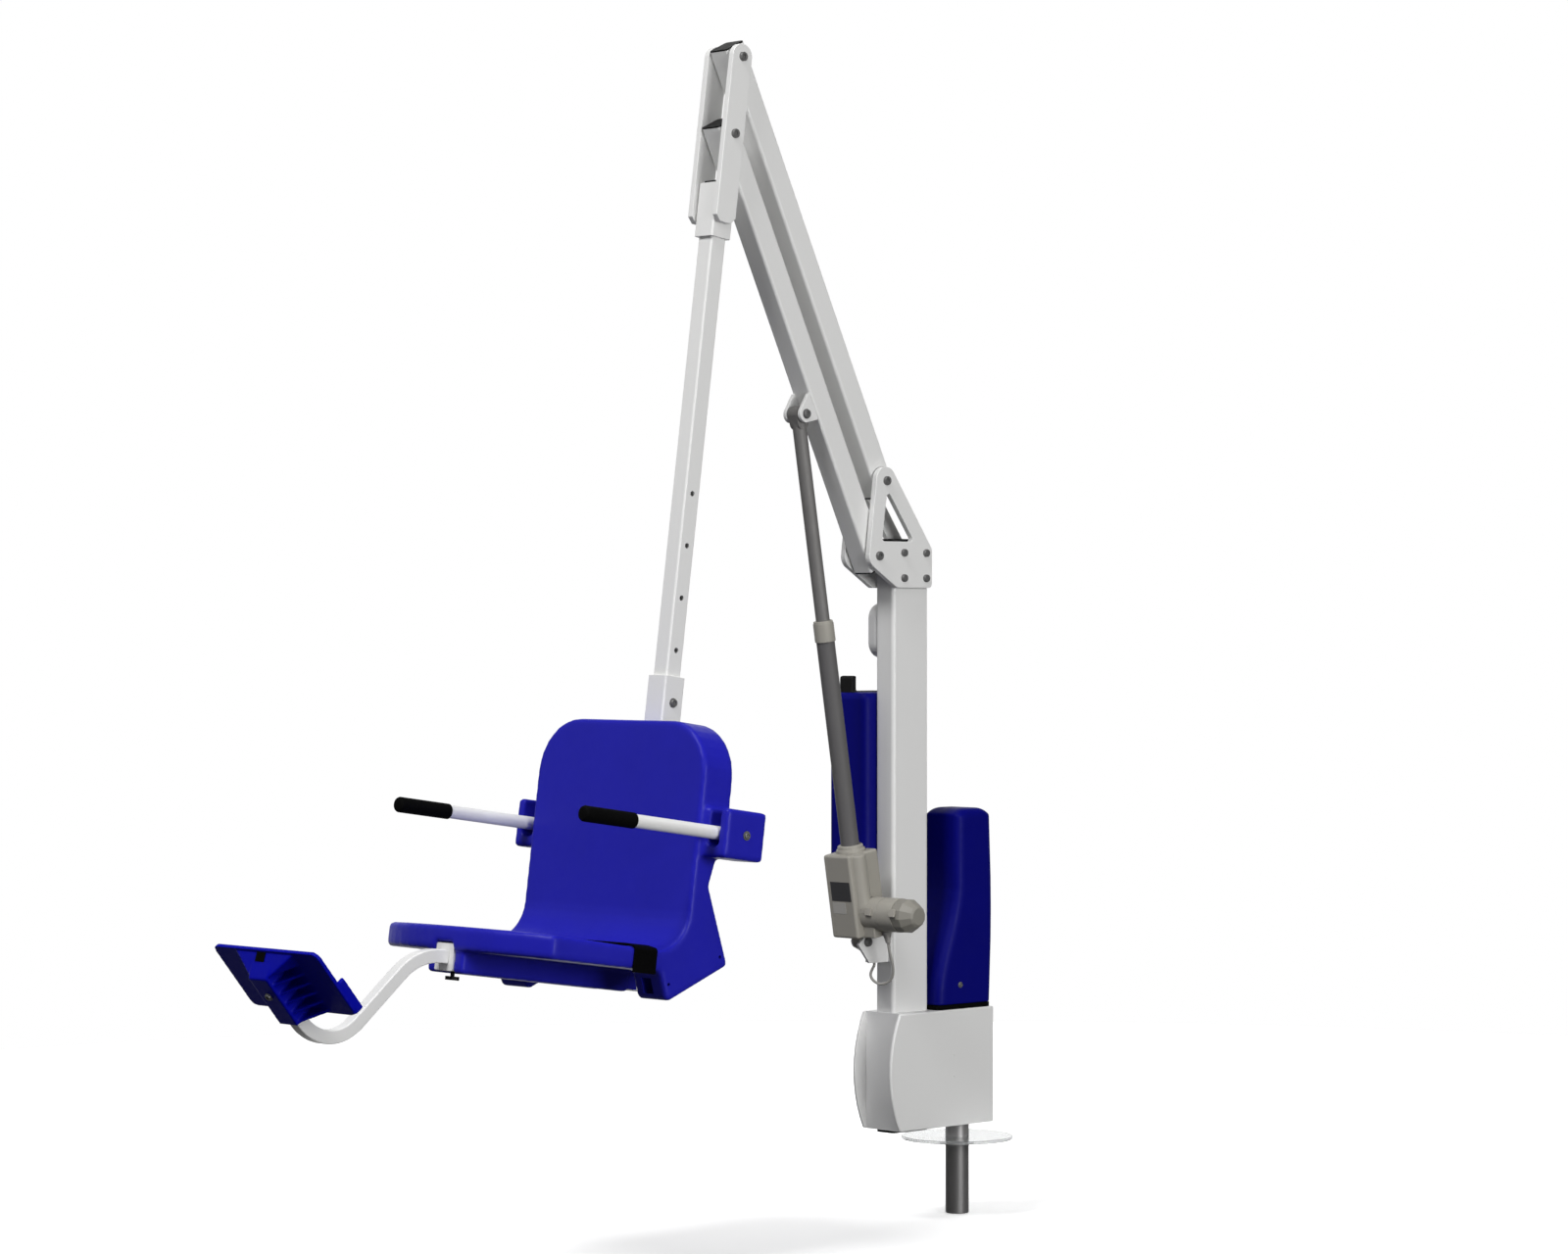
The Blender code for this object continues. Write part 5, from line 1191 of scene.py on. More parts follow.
@dataclass(frozen=True)
class Seat:
    """Moulded shell, rail, belt and the small holes in the shell's side."""

    link: Linkage
    voxel: float = 0.0038
    passes: int = 4
    hole_radius: float = 0.0032
    hole_span: Flat = (-0.012, 0.01)
    side_holes: Run = ((0.890, 0.5858), (1.0188, 0.5422))
    half_width: float = 0.2375
    pan_top: float = -1.589
    pan_band: float = 0.039
    belt_middle: float = 0.192
    belt_width: float = 0.055
    belt_thick: float = 0.0034
    belt_lift: float = 0.0030
    belt_drop: float = 0.046
    belt_gap: float = 0.0012
    belt_fold: float = 0.006
    belt_ends: float = 0.02
    belt_wave: Point = (0.2, 31.0, 140.0)
    crown_start: float = 0.170
    crown_reach: float = 0.244
    crown_rise: float = 0.0065
    # A foot's pocket and the keel's tail: forward, sideways and below the pan's top.
    pocket: tuple[Flat, Flat, Flat] = ((0.110, 0.170), (0.178, 0.205), (0.052, 0.080))
    tail: tuple[Flat, Flat, Flat] = ((0.033, 0.060), (0.0262, 0.0490), (0.030, 0.0745))
    rail_edge: float = 0.0010

    def build(self) -> None:
        """Build the shell, rail and belt."""
        shell = softened("seat_shell", self.voxel, self.passes)
        self.crown(shell)
        for way in (1, -1):
            span = sided(way, *(self.half_width + depth for depth in self.hole_span))
            for x, z in self.side_holes:
                carve(shell, drum(self.hole_radius, *span, shift(x, 0.0, z), Axis.Y, 24))
            carve(shell, self.block(self.pocket, way))
            carve(shell, self.block(self.tail, way), operation="UNION")
        install(settle(shell, radians(60)), BLUE_SHELL, Body.HEAD, "seat_shell")
        dressed_copy("seat_rail", WHITE_COAT, Body.HEAD, self.rail_edge, 2, 0.01)
        self.build_belt()

    def block(self, spans: tuple[Flat, Flat, Flat], way: int) -> Shape:
        """Make a block below the pan.

        Args:
            spans: Spans forward, sideways and below the pan's top.
            way: +1 near, -1 far.

        Returns:
            The block.
        """
        forward, sideways, below = spans
        low, high = sided(way, *sideways)
        return slab((forward[0], low, self.pan_top - below[1]),
                    (forward[1], high, self.pan_top - below[0]), self.link.head())

    def crown(self, shell: Piece) -> None:
        """Thicken the pan's band towards its front.

        Args:
            shell: The seat shell, changed in place.
        """
        place = self.link.head()
        back = place.inverted()
        floor = self.pan_top - self.pan_band
        for vert in shell.data.vertices:
            spot = back @ vert.co
            share = min(1.0, max(0.0, (spot.x - self.crown_start) / self.crown_reach))
            height = min(1.0, max(0.0, (spot.z - floor) / self.pan_band))
            if share and height and spot.z < self.pan_top + self.pan_band:
                spot.z += self.crown_rise * share * height
                vert.co = place @ spot

    def build_belt(self) -> None:
        """Build the strap, laid across the pan and folded down over both sides."""
        out, top = self.half_width + self.belt_gap, self.pan_top + self.belt_gap
        foot, start = top - self.belt_drop, self.belt_middle - self.belt_width / 2
        shape = bmesh.new()
        verts = [shape.verts.new((start, y, z))
                 for y, z in ((-out, foot), (-out, top), (out, top), (out, foot))]
        edges = [shape.edges.new(pair) for pair in zip(verts, verts[1:])]
        grown = bmesh.ops.extrude_edge_only(shape, edges=edges)["geom"]
        bmesh.ops.translate(shape, verts=picked(grown, bmesh.types.BMVert),
                            vec=(self.belt_width, 0.0, 0.0))
        folds = [edge for edge in shape.edges if len(edge.link_faces) == 2]
        bmesh.ops.bevel(shape, geom=folds, offset=self.belt_fold, segments=5, profile=0.5,
                        affect="EDGES", material=-1)
        long_edges = [edge for edge in shape.edges if edge.calc_length() > out]
        bmesh.ops.subdivide_edges(shape, edges=long_edges, cuts=24, use_grid_fill=True)
        depth, across, along = self.belt_wave
        for vert in shape.verts:
            x, y, _ = vert.co
            if abs(y) < out - self.belt_ends:
                wave = sin(across * y) * cos(along * (x - start))
                vert.co.z += self.belt_lift * (1.0 + depth * wave)
        bmesh.ops.recalc_face_normals(shape, faces=shape.faces)
        bmesh.ops.solidify(shape, geom=shape.faces[:], thickness=-self.belt_thick)
        put("belt_strap", moved(shape, self.link.head()), BLACK_WEB, Body.HEAD, "seat_belt",
            sharp=radians(50))


@dataclass(frozen=True)
class Armrests:
    """The two flip-up armrests with foam grips and pins."""

    link: Linkage
    tube_radius: float = 0.0127
    tube_edge: float = 0.003
    tube_short: float = 0.006
    tail: float = -0.020
    grip_radius: float = 0.0149
    grip_length: float = 0.125
    grip_gap: float = 0.0002
    grip_edge: float = 0.0012
    grip_wall: float = 0.004
    # The rounded tip: inward from the grip's radius and back from its end.
    grip_tip: Run = ((0.0, 0.005), (0.0015, 0.0018), (0.005, 0.0))
    grip_dimple: float = 0.0006
    reach: float = 0.3782
    wing_out: float = 0.300

    def build(self) -> None:
        """Build both armrests."""
        for (side, way), body in zip(SIDES, (Body.ARMREST_NEAR, Body.ARMREST_FAR)):
            pivot = joint_place(f"armrest_{side}_flip")
            self.build_tube(side, tilted(pivot, -self.link.lean), body)
            pin = shift(pivot.x, 0.0, pivot.z)
            node = "armrest_pin_" + side
            inner = min(abs(corner[1]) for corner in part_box(node))
            head = ARMREST_BOLT.head(pin, way, self.wing_out)
            shank = drum(ARMREST_BOLT.shank_radius, *sided(way, inner, self.wing_out), pin,
                         Axis.Y, 24)
            put(node + "_head", merged(head, shank), BOLT_STEEL, Body.HEAD, node)

    def build_tube(self, side: str, place: Matrix, body: Body) -> None:
        """Build one tube and its grip.

        Args:
            side: Near or far.
            place: Frame of the armrest, x along it.
            body: The body that carries them.
        """
        r, e, tail, end = self.tube_radius, self.tube_edge, self.tail, self.reach - self.tube_short
        tube = [(0.0, tail), (r - e, tail), (r, tail + e), (r, end), (0.0, end)]
        node = "armrest_tube_" + side
        put(node + "_drawn", lathe(tube, place, Axis.X, 48), WHITE_COAT, body, node)
        g, e, bore = self.grip_radius, self.grip_edge, r + self.grip_gap
        start, tip, wall = self.reach - self.grip_length, self.reach, self.reach - self.grip_wall
        grip = [(bore, start), (g - e, start), (g, start + e)]
        grip += [(g - inward, tip - back) for inward, back in self.grip_tip]
        grip += [(0.0, tip - self.grip_dimple), (0.0, wall), (bore, wall), (bore, start)]
        node = "armrest_grip_" + side
        put(node + "_foam", lathe(grip, place, Axis.X, 48), BLACK_FOAM, body, node)


@dataclass(frozen=True)
class Footrest:
    """Bent tube, ribbed foot plate and the socket's knob."""

    link: Linkage
    rail_level: float = -1.640
    rail_front: float = 0.468
    inside: float = 0.070
    half: float = 0.0127
    corner: float = 0.0028
    first_corner: float = 0.5347
    first_turn: float = radians(47.7)
    first_radius: float = 0.120
    first_steps: int = 14
    drop: float = 0.2735
    second_turn: float = radians(90.3)
    second_radius: float = 0.088
    second_steps: int = 22
    stub: float = 0.201
    seed: float = 0.001
    plate_voxel: float = 0.0021
    plate_passes: int = 4
    block_under: float = 0.0205
    bolt_along: float = 0.1675
    hip_middle: Flat = (0.2312, 0.0150)
    hip_slope: float = radians(55)
    patch: tuple[Point, Point] = ((-0.010, -0.0200, -0.0012), (0.010, 0.0060, 0.0020))
    patch_edge: float = 0.0006
    knob_edge: float = 0.0008

    def build(self) -> None:
        """Build the tube, plate and knob."""
        place = self.link.head()
        put("footrest_tube_bent", self.bent_tube(place), WHITE_COAT, Body.FOOTREST,
            "footrest_tube", sharp=DRAWN)
        plate = softened("foot_plate", self.plate_voxel, self.plate_passes)
        install(plate, BLUE_PLATE, Body.FOOTREST, "foot_plate")
        leg = place @ tilted(self.second_corner(), self.first_turn - self.second_turn)
        x, z = self.hip_middle
        facet = leg @ tilted(Vector((x, 0.0, z)), -self.hip_slope)
        patch = slab(*self.patch, facet, self.patch_edge, 2)
        put("toe_patch", patch, BLACK_FOAM, Body.FOOTREST)
        under = leg @ shift(self.bolt_along) @ Axis.Y.turn()
        head = PLATE_BOLT.head(under, 1, self.block_under)
        put("plate_bolt", head, BOLT_STEEL, Body.FOOTREST)
        dressed_copy("socket_knob", BLACK_PLASTIC, Body.KNOB, self.knob_edge, 2, 0.002)

    def heading(self) -> Vector:
        """Direction of the tube between its bends."""
        return Vector((cos(self.first_turn), 0.0, -sin(self.first_turn)))

    def second_corner(self) -> Vector:
        """Corner of the second bend, in the head's frame."""
        return Vector((self.first_corner, 0.0, self.rail_level)) + self.heading() * self.drop

    def bent_tube(self, place: Matrix) -> Shape:
        """Draw a square tube along its two bends.

        Args:
            place: Frame of the head.

        Returns:
            The tube with closed ends.
        """
        start, level = self.rail_front - self.inside, self.rail_level
        shape = square_bar((self.half, self.half), self.corner, start, start + self.seed,
                           shift(z=level), Axis.X)
        front = [face for face in shape.faces if len(face.verts) > 4
                 and face.calc_center_median().x > start + self.seed / 2]
        first_reach = self.first_radius * tan(self.first_turn / 2)
        second_reach = self.second_radius * tan(self.second_turn / 2)
        x = self.first_corner - first_reach
        front = self.push(shape, front, Vector((x - start - self.seed, 0.0, 0.0)))
        centre = Vector((x, 0.0, level - self.first_radius))
        front = self.turn(shape, front, centre, self.first_turn, self.first_steps)
        heading = self.heading()
        front = self.push(shape, front, heading * (self.drop - first_reach - second_reach))
        centre = self.second_corner() - heading * second_reach
        centre += Vector((-heading.z, 0.0, heading.x)) * self.second_radius
        front = self.turn(shape, front, centre, -self.second_turn, self.second_steps)
        last = self.second_turn - self.first_turn
        stub = self.stub - second_reach
        self.push(shape, front, Vector((cos(last), 0.0, sin(last))) * stub)
        return moved(shape, place)

    @staticmethod
    def push(shape: Shape, faces: Faces, step: Vector) -> Faces:
        """Extrude the end face straight on.

        Args:
            shape: The tube so far.
            faces: Its end face.
            step: How far the face moves.

        Returns:
            The new end face.
        """
        grown = bmesh.ops.extrude_face_region(shape, geom=faces)["geom"]
        bmesh.ops.delete(shape, geom=faces, context="FACES_ONLY")
        bmesh.ops.translate(shape, verts=picked(grown, bmesh.types.BMVert), vec=step)
        return picked(grown, bmesh.types.BMFace)

    def turn(self, shape: Shape, faces: Faces, centre: Vector, angle: float,
             steps: int) -> Faces:
        """Extrude the end face round a bend.

        Args:
            shape: The tube so far.
            faces: Its end face.
            centre: Centre of the bend.
            angle: Turn about +Y.
            steps: Stations round the bend.

        Returns:
            The new end face.
        """
        part = Matrix.Rotation(angle / steps, 3, "Y")
        for _ in range(steps):
            faces = self.push(shape, faces, Vector((0.0, 0.0, 0.0)))
            verts = list({vert for face in faces for vert in face.verts})
            bmesh.ops.rotate(shape, verts=verts, cent=centre, matrix=part)
        return faces


@dataclass(frozen=True)
class Actuator:
    """Linear actuator: gear case with motor, tube, collar and rod, and its bracket on the mast."""

    link: Linkage
    case_depth: Flat = (-0.040, 0.0445)
    case_half: float = 0.0365
    case_span: Flat = (0.0155, 0.1845)
    case_edge: float = 0.0055
    # Radius and level of each point of the boss.
    boss: Run = ((0.0295, 0.1885), (0.0285, 0.1905), (0.0262, 0.1910),
                              (0.0255, 0.1970), (0.0240, 0.1985))
    boss_root: float = 0.01
    lug_radius: float = 0.0145
    lug_half: float = 0.0105
    lug_foot: Flat = (0.008, 0.012)
    pin_hole: float = 0.0066
    motor_radius: float = 0.034
    motor_level: float = 0.0593
    motor_end: float = 0.1225
    motor_foot: Point = (0.0655, 0.026, 0.045)
    foot_edge: float = 0.0025
    foot_overlap: Flat = (0.006, 0.0005)
    # A ring groove round the motor: back from its end, depth, and each step across it.
    seam: Flat = (0.042, 0.0006)
    seam_steps: Point = (0.0003, 0.0011, 0.0014)
    cap_band: float = 0.0225
    cap_end: float = 0.1695
    cap_cone: Run = ((0.62, 0.003), (0.5, 0.0), (0.0, 0.0))
    cap_edge: float = 0.0008
    # Painted shade (upper) and painted light (lower) on the front: name, finish, span across and
    # span of levels.
    painted_patches: tuple[tuple[str, Finish, Flat, Flat], ...] = (
        ("upper", PAINTED_SHADE_GREY, (-0.024, 0.030), (0.092, 0.131)),
        ("lower", PAINTED_LIGHT_GREY, (-0.024, 0.012), (0.066, 0.089)),
    )
    field_skin: Flat = (-0.0001, 0.0005)
    field_edge: float = 0.0002
    clip_turns: Flat = (-20.0, 160.0)
    clip_starts: Flat = (-0.068, -0.002)
    clip_sunk: float = 0.001
    # The two blocks of a clip: span along the motor, half width, height and edge.
    clip_blocks: tuple[tuple[Flat, float, float, float], ...] = (
        ((0.0, 0.016), 0.008, 0.0038, 0.0012), ((-0.004, 0.004), 0.0045, 0.0026, 0.001))
    boot_side: float = 0.0745
    boot_length: float = 0.024
    boot_collar: Flat = (0.0085, 0.006)
    boot_first: Flat = (0.0078, 0.0075)
    boot_pitch: Flat = (0.0008, 0.0042)
    # One rib of the boot: inward from its radius and down from its level.
    boot_rib: Run = ((0.0, 0.0), (0.0, 0.0022), (0.0012, 0.0026), (0.0012, 0.0040))
    boot_ribs: int = 4
    boot_tip: float = 0.0046
    column_radius: float = 0.020
    column_span: Flat = (0.066, 0.1835)
    column_place: Flat = (0.016, -0.007)
    # The column's rounded top: inward and down.
    column_top: Run = ((0.0, 0.006), (0.002, 0.002), (0.006, 0.0))
    tube_radius: float = 0.0185
    tube_wall: float = 0.004
    tube_bore: Flat = (0.1578, 0.25)
    tube_span: Flat = (0.1598, 0.640)
    collar: Flat = (0.611, 0.653)
    collar_radius: float = 0.02075
    collar_edge: float = 0.0008
    # The collar's stepped top: inward and down.
    collar_top: Run = ((0.0, 0.006), (0.0012, 0.0035), (0.0014, 0.0012), (0.0026, 0.0))
    rod_radius: float = 0.014
    rod_way: float = 0.0006
    rod_foot: float = 0.600
    edge: float = 0.001
    stem_short: float = 0.018
    eye_radius: float = 0.0165
    eye_neck: float = 0.0175
    eye_half: float = 0.013
    eye_edge: float = 0.0012
    eye_pin: Flat = (0.0060, 0.0161)
    bracket_edge: float = 0.0007
    bracket_head: float = 0.0068

    def build(self) -> None:
        """Build the actuator and its bracket."""
        place = self.link.actuator()
        level = place @ shift(z=self.motor_level)
        self.build_case(place, level)
        self.build_motor(level)
        self.build_boot(place)
        self.build_tubes(place)
        self.build_rod(place)
        self.build_bracket()

    def build_case(self, place: Matrix, level: Matrix) -> None:
        """Build the cast gear case with its boss, column, motor barrel, lug and painted shade and
        light patches.

        Args:
            place: Frame of the actuator.
            level: Frame of the motor, y along it.
        """
        y, (rear, front), (low, high) = self.case_half, self.case_depth, self.case_span
        block = slab((rear, -y, low), (front, y, high), place, self.case_edge, 4)
        case = new_piece("gear_case_cast", block)
        root = high - self.boss_root
        boss = [(0.0, root), (self.boss[0][0], root), *self.boss, (0.0, self.boss[-1][1])]
        r, foot, top = self.column_radius, *self.column_span
        column = [(0.0, foot), (r, foot)]
        column += [(r - inward, top - down) for inward, down in self.column_top] + [(0.0, top)]
        beside = place @ shift(self.column_place[0], y + self.column_place[1])
        m, end, groove = self.motor_radius, self.motor_end, self.motor_radius - self.seam[1]
        seam = end - self.seam[0]
        first, second, third = (seam + step for step in self.seam_steps)
        barrel = [(0.0, 0.0), (m, 0.0), (m, seam), (groove, first), (groove, second), (m, third),
                  (m, end), (0.0, end)]
        x, r = self.lug_foot
        lug = [(0.0, 0.0, self.lug_radius), (-x, low + r, r), (x, low + r, r)]
        reach, depth, rise = self.motor_foot
        start = (-depth, y - self.foot_overlap[0], low - self.foot_overlap[1])
        carve(case, lathe(boss, place, Axis.Z, 56), lathe(column, beside, Axis.Z, 48),
              lathe(barrel, level, Axis.Y, 64),
              outline_plate(lug, -self.lug_half, self.lug_half, place),
              slab(start, (depth, reach, rise), place, self.foot_edge),
              operation="UNION")
        carve(case, drum(self.pin_hole, -THROUGH, THROUGH, place),
              drum(self.tube_radius + GAP, *self.tube_bore, place, Axis.Z, 56))
        install(settle(case, CAST), WARM_GREY, Body.ACTUATOR, "actuator_gearbox")
        # Lay the painted shade and painted light patches just proud of the case's front face.
        inside, outside = (front + skin for skin in self.field_skin)
        for name, finish, side, span in self.painted_patches:
            painted_patch = slab((inside, side[0], span[0]), (outside, side[1], span[1]), place,
                        self.field_edge, 1)
            put(f"case_painted_patch_{name}", painted_patch, finish, Body.ACTUATOR)

    def build_motor(self, level: Matrix) -> None:
        """Build the faceted end cap and the clips on the barrel.

        Args:
            level: Frame of the motor, y along it.
        """
        m, end = self.motor_radius, self.motor_end + GAP
        profile = [(0.0, end), (m, end), (m, end + self.cap_band)]
        profile += [(m * share, self.cap_end - back) for share, back in self.cap_cone]
        cap = round_edges(lathe(profile, level, Axis.Y, 12), self.cap_edge, 2, radians(14), 0.004)
        put("motor_end_cap", cap, CAP_GREY, Body.ACTUATOR, "motor_cap", sharp=radians(20))
        clips = []
        for turn in self.clip_turns:
            spot = level @ Matrix.Rotation(radians(turn), 4, "Y")
            for start in self.clip_starts:
                for span, half, height, edge in self.clip_blocks:
                    low, high = (self.motor_end + start + along for along in span)
                    clips.append(slab((m - self.clip_sunk, low, -half), (m + height, high, half),
                                      spot, edge, 2))
        put("motor_clips", merged(*clips), WARM_GREY, Body.ACTUATOR)

    def boot_top(self) -> float:
        """Level of the lead's boot under the motor."""
        return self.motor_level - self.motor_radius - GAP

    def build_boot(self, place: Matrix) -> None:
        """Build the ribbed boot of the lead.

        Args:
            place: Frame of the actuator.
        """
        top, foot = self.boot_top(), self.boot_top() - self.boot_length
        r, down = self.boot_collar
        rings = [(0.0, top), (r, top), (r, top - down)]
        for i in range(self.boot_ribs):
            r = self.boot_first[0] - i * self.boot_pitch[0]
            step = top - self.boot_first[1] - i * self.boot_pitch[1]
            rings += [(r - inward, step - below) for inward, below in self.boot_rib]
        rings += [(self.boot_tip, foot), (0.0, foot)]
        put("lead_boot", lathe(rings, place @ shift(y=self.boot_side), Axis.Z, 32), LEAD_SHEATH,
            Body.ACTUATOR, "cable_plug")

    def build_tubes(self, place: Matrix) -> None:
        """Build the outer tube and its stepped collar.

        Args:
            place: Frame of the actuator.
        """
        r, e, (low, high) = self.tube_radius, self.edge, self.tube_span
        inner = r - self.tube_wall
        ring = [(inner, low), (r, low), (r, high - e), (r - e, high), (inner, high), (inner, low)]
        put("actuator_tube_drawn", lathe(ring, place, Axis.Z, 56), TUBE_GREY, Body.ACTUATOR,
            "actuator_tube")
        (foot, top), c, e = self.collar, self.collar_radius, self.collar_edge
        way, seat, step = self.rod_radius + self.rod_way, r + GAP, high + GAP
        profile = [(seat, foot), (c - e, foot), (c, foot + e)]
        profile += [(c - inward, top - down) for inward, down in self.collar_top]
        profile += [(way, top), (way, step), (seat, step), (seat, foot)]
        put("tube_collar_moulded", lathe(profile, place, Axis.Z, 56), WARM_GREY, Body.ACTUATOR,
            "tube_collar")

    def build_rod(self, place: Matrix) -> None:
        """Build the rod with its flat-sided eye and pin.

        Args:
            place: Frame of the actuator.
        """
        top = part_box("actuator_rod")[1][2] - self.eye_radius - self.link.actuator_pin.z
        length = round(top / self.link.rod_axis.z, 4)
        r, e, foot, end = self.rod_radius, self.edge, self.rod_foot, length - self.stem_short
        stem = [(0.0, foot), (r - e, foot), (r, foot + e), (r, end), (0.0, end)]
        rod = new_piece("actuator_rod_turned", lathe(stem, place, Axis.Z, 48))
        tip = place @ shift(z=length)
        eye = outline_plate([(0.0, 0.0, self.eye_radius), (0.0, -self.eye_neck, r)],
                            -self.eye_half, self.eye_half, tip)
        pin, reach = self.eye_pin
        carve(rod, round_edges(eye, self.eye_edge, 3, CORNER), drum(pin, -reach, reach, tip),
              operation="UNION")
        install(settle(rod, CAST), ROD_STEEL, Body.ROD, "actuator_rod")

    def build_bracket(self) -> None:
        """Build the folded bracket on the mast and its pin."""
        dressed_copy("actuator_bracket", WHITE_COAT, Body.MAST, self.bracket_edge, 2, 0.010)
        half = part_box("bracket_pin")[1][1] - self.bracket_head
        BRACKET_BOLT.pair(Matrix.Translation(self.link.actuator_pin), half, Body.MAST,
                          "bracket_pin")


@dataclass(frozen=True)
class MastBoxes:
    """Control box, battery and the small junction box on the mast's far flank."""

    box_voxel: float = 0.0030
    battery_voxel: float = 0.0018
    passes: int = 2
    junction_edge: float = 0.005

    def build(self) -> None:
        """Build the three boxes."""
        box = softened("control_box", self.box_voxel, self.passes)
        install(box, BLUE_COVER, Body.MAST, "control_box")
        battery = softened("battery", self.battery_voxel, self.passes)
        install(battery, BLACK_PLASTIC, Body.BATTERY, "battery")
        junction = round_edges(node_copy("junction_box"), self.junction_edge, 4, CORNER, 0.001)
        put("junction_box_moulded", junction, WHITE_PLASTIC, Body.MAST, "junction_box",
            sharp=radians(40))


@dataclass(frozen=True)
class ActuatorLead:
    """Thin lead from the motor's boot to the underside of the bracket, in one hanging loop."""

    actuator: Actuator
    diameter: float = 0.0055
    route: tuple[Point, ...] = (
        (0.2741, 0.0733, 0.5606), (0.2650, 0.0712, 0.5385), (0.2567, 0.0685, 0.5183),
        (0.2526, 0.0617, 0.5019), (0.2527, 0.0509, 0.4915), (0.2571, 0.0359, 0.4859),
        (0.2601, 0.0222, 0.4892), (0.2602, 0.0113, 0.4964), (0.2562, 0.0045, 0.5046),
        (0.2480, 0.0015, 0.5140), (0.2420, 0.0005, 0.5205),
    )
    start_drop: float = 0.0016
    end_gap: float = 0.0006
    steps: int = 3

    def build(self) -> None:
        """Build the lead as a smooth curve through its route."""
        boot = self.actuator
        level = boot.boot_top() - boot.boot_length - self.start_drop
        start = boot.link.actuator() @ Vector((0.0, boot.boot_side, level))
        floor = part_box("actuator_bracket")[0][2]
        end = Vector((*self.route[-1][:2], floor - self.end_gap))
        points = self.smooth([start, *map(Vector, self.route), end])
        curve = bpy.data.curves.new("actuator_lead", "CURVE")
        curve.dimensions = "3D"
        curve.bevel_depth = self.diameter / 2
        curve.bevel_resolution = 4
        curve.use_fill_caps = True
        line = curve.splines.new("POLY")
        line.points.add(len(points) - 1)
        for spot, place in zip(line.points, points):
            spot.co = (*place, 1.0)
        line.use_smooth = True
        lead = bpy.data.objects.new("actuator_lead", curve)
        bpy.context.scene.collection.objects.link(lead)
        install(lead, LEAD_SHEATH, Body.MAST, "actuator_cable")
        length = sum((b - a).length for a, b in zip(points, points[1:]))

    def smooth(self, route: list[Vector]) -> list[Vector]:
        """Find the points of a smooth curve through a route.

        Args:
            route: The points it passes through.

        Returns:
            The finer points.
        """
        padded = [2 * route[0] - route[1]] + route + [2 * route[-1] - route[-2]]
        points = []
        for a, b, c, d in zip(padded, padded[1:], padded[2:], padded[3:]):
            for i in range(self.steps):
                t = i / self.steps
                points.append(0.5 * (2 * b + (c - a) * t + (2 * a - 5 * b + 4 * c - d) * t * t
                                     + (3 * b - a - 3 * c + d) * t ** 3))
        return points + [route[-1]]


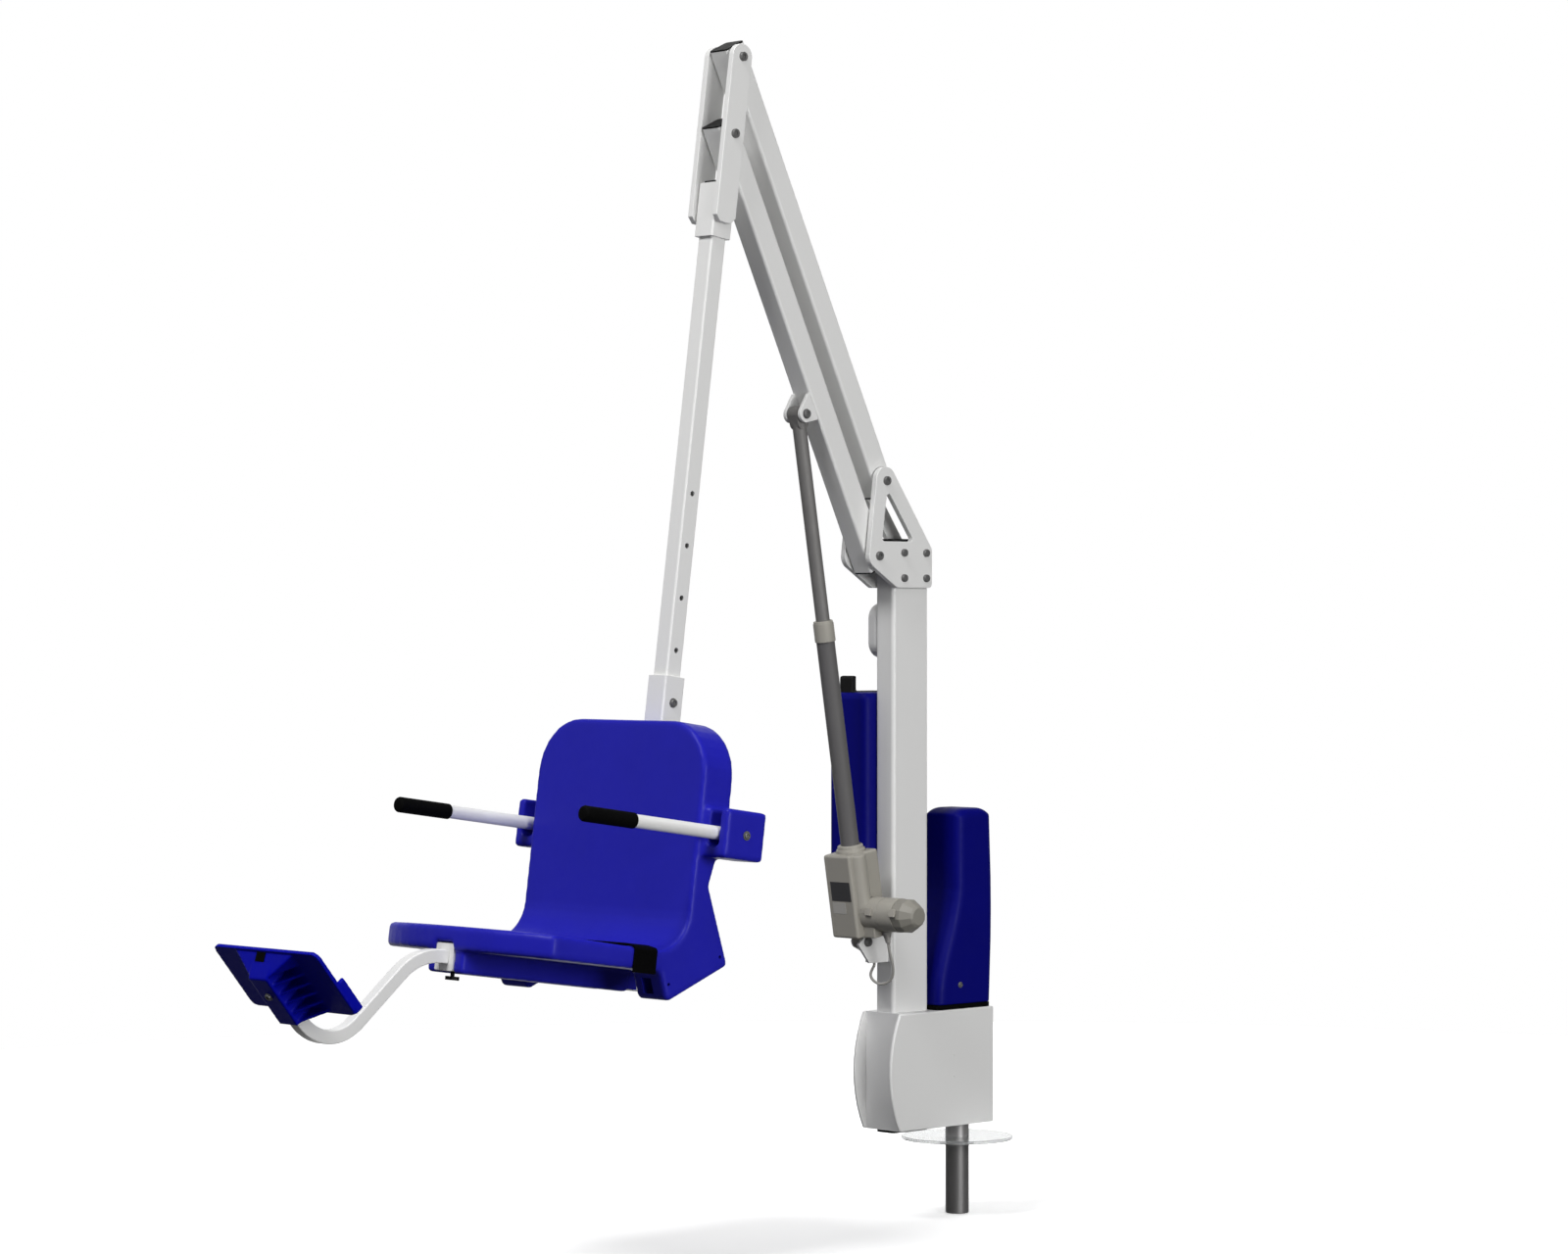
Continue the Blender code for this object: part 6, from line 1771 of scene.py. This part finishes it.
@dataclass(frozen=True)
class Studio:
    """Pale floor, bright backdrop, soft lamps and the camera at the photograph's angle."""

    camera_place: Point = (6.266, 5.977, 1.202)
    camera_turn: float = radians(136.0)
    lens: float = 96.75
    sensor: float = 36.0
    floor_radius: float = 4.2
    floor_drop: float = 0.002
    floor_tones: tuple[Colour, Colour] = ((0.86, 0.86, 0.86), (0.89, 0.89, 0.89))
    floor_fade: Flat = (-0.9, 1.9)
    floor_glow: Flat = (0.42, 0.95)
    backdrop_fade: Flat = (0.62, 0.92)
    backdrop_glow: Flat = (0.08, 1.0)
    # Name, place, aim, size and power of each lamp.
    lamps: tuple[tuple[str, Point, Point, float, float], ...] = (
        ("key", (1.2, 6.4, 1.6), (0.5, 0.0, 1.1), 2.8, 240.0),
        ("high", (4.1, 5.4, 5.8), (0.5, 0.0, 1.2), 3.2, 70.0),
        ("front", (8.0, 0.5, 10.5), (0.5, 0.0, 1.2), 4.0, 1100.0),
        ("fill", (4.2, -4.2, 2.4), (0.8, 0.0, 0.9), 3.5, 15.0),
        ("top", (0.4, -1.2, 6.5), (0.5, 0.0, 1.0), 3.0, 40.0),
    )

    def build(self) -> None:
        """Build the floor, the lights and the camera."""
        self.build_floor()
        self.build_world()
        self.build_lamps()
        data = bpy.data.cameras.new("photo_camera")
        data.lens = self.lens
        data.sensor_width = self.sensor
        camera = bpy.data.objects.new("photo_camera", data)
        camera.location = self.camera_place
        camera.rotation_euler = (pi / 2, 0.0, self.camera_turn)
        bpy.context.scene.collection.objects.link(camera)
        bpy.context.scene.camera = camera
        bpy.context.scene.view_settings.view_transform = "Standard"

    def fade(self, graph: Graph, source: Socket, reach: Flat, glow: Flat) -> Socket:
        """Grow a value along the level direction from the camera to the backdrop.

        Args:
            graph: Node tree to add to.
            source: Place or direction.
            reach: Start and end of the growth along that direction.
            glow: Value at the start and at the end.

        Returns:
            The value.
        """
        along = graph.add("ShaderNodeVectorMath", operation="DOT_PRODUCT")
        along.inputs[1].default_value = (-sin(self.camera_turn), cos(self.camera_turn), 0.0)
        graph.link(source, along.inputs[0])
        return graph.add("ShaderNodeMapRange", interpolation_type="SMOOTHSTEP",
                         Value=along.outputs["Value"], From_Min=reach[0], From_Max=reach[1],
                         To_Min=glow[0], To_Max=glow[1]).outputs["Result"]

    def build_floor(self) -> None:
        """Build the pale round floor under the post, which glows towards the backdrop."""
        shape = bmesh.new()
        bmesh.ops.create_circle(shape, cap_ends=True, segments=128, radius=self.floor_radius,
                                matrix=shift(z=-self.floor_drop))
        floor = new_piece("floor", shape)
        graph = Graph(bpy.data.materials.new("pale_floor"))
        graph.drive(graph.blend(graph.noise(1.5), *self.floor_tones), "Base Color")
        graph.constant(Roughness=0.9, Specular_IOR_Level=0.1, Emission_Color=(1.0, 1.0, 1.0, 1.0))
        glow = self.fade(graph, graph.place(), self.floor_fade, self.floor_glow)
        graph.drive(glow, "Emission Strength")
        floor.data.materials.append(graph.owner)
        floor.visible_diffuse = False
        floor.visible_glossy = False

    def build_world(self) -> None:
        """Build dim surroundings that grow white behind the lift."""
        graph = Graph(bpy.data.worlds.new("studio"), "Background")
        graph.constant(Color=(1.0, 1.0, 1.0, 1.0))
        way = graph.add("ShaderNodeTexCoord").outputs["Generated"]
        graph.drive(self.fade(graph, way, self.backdrop_fade, self.backdrop_glow), "Strength")
        bpy.context.scene.world = graph.owner

    def build_lamps(self) -> None:
        """Build the large soft lamps."""
        for name, place, aim, size, power in self.lamps:
            data = bpy.data.lights.new(name, "AREA")
            data.size = size
            data.energy = power
            lamp = bpy.data.objects.new(name, data)
            lamp.location = place
            toward = (Vector(aim) - Vector(place)).to_track_quat("-Z", "Y")
            lamp.rotation_euler = toward.to_euler()
            bpy.context.scene.collection.objects.link(lamp)


def main() -> None:
    """Build every sub-assembly in order."""
    logging.basicConfig(level=logging.INFO, format="%(name)s: %(message)s")
    link = Linkage()
    actuator = Actuator(link)
    for assembly in (Studio(), ActuatorLead(actuator), AnchorBase(), TurningDrive(), Mast(link),
                     MastBoxes(), LiftingArms(link), HeadAndPole(link), Seat(link),
                     Armrests(link), Footrest(link), actuator):
        assembly.build()
        LOG.info("built %s", type(assembly).__name__)


if __name__ == "__main__":
    main()
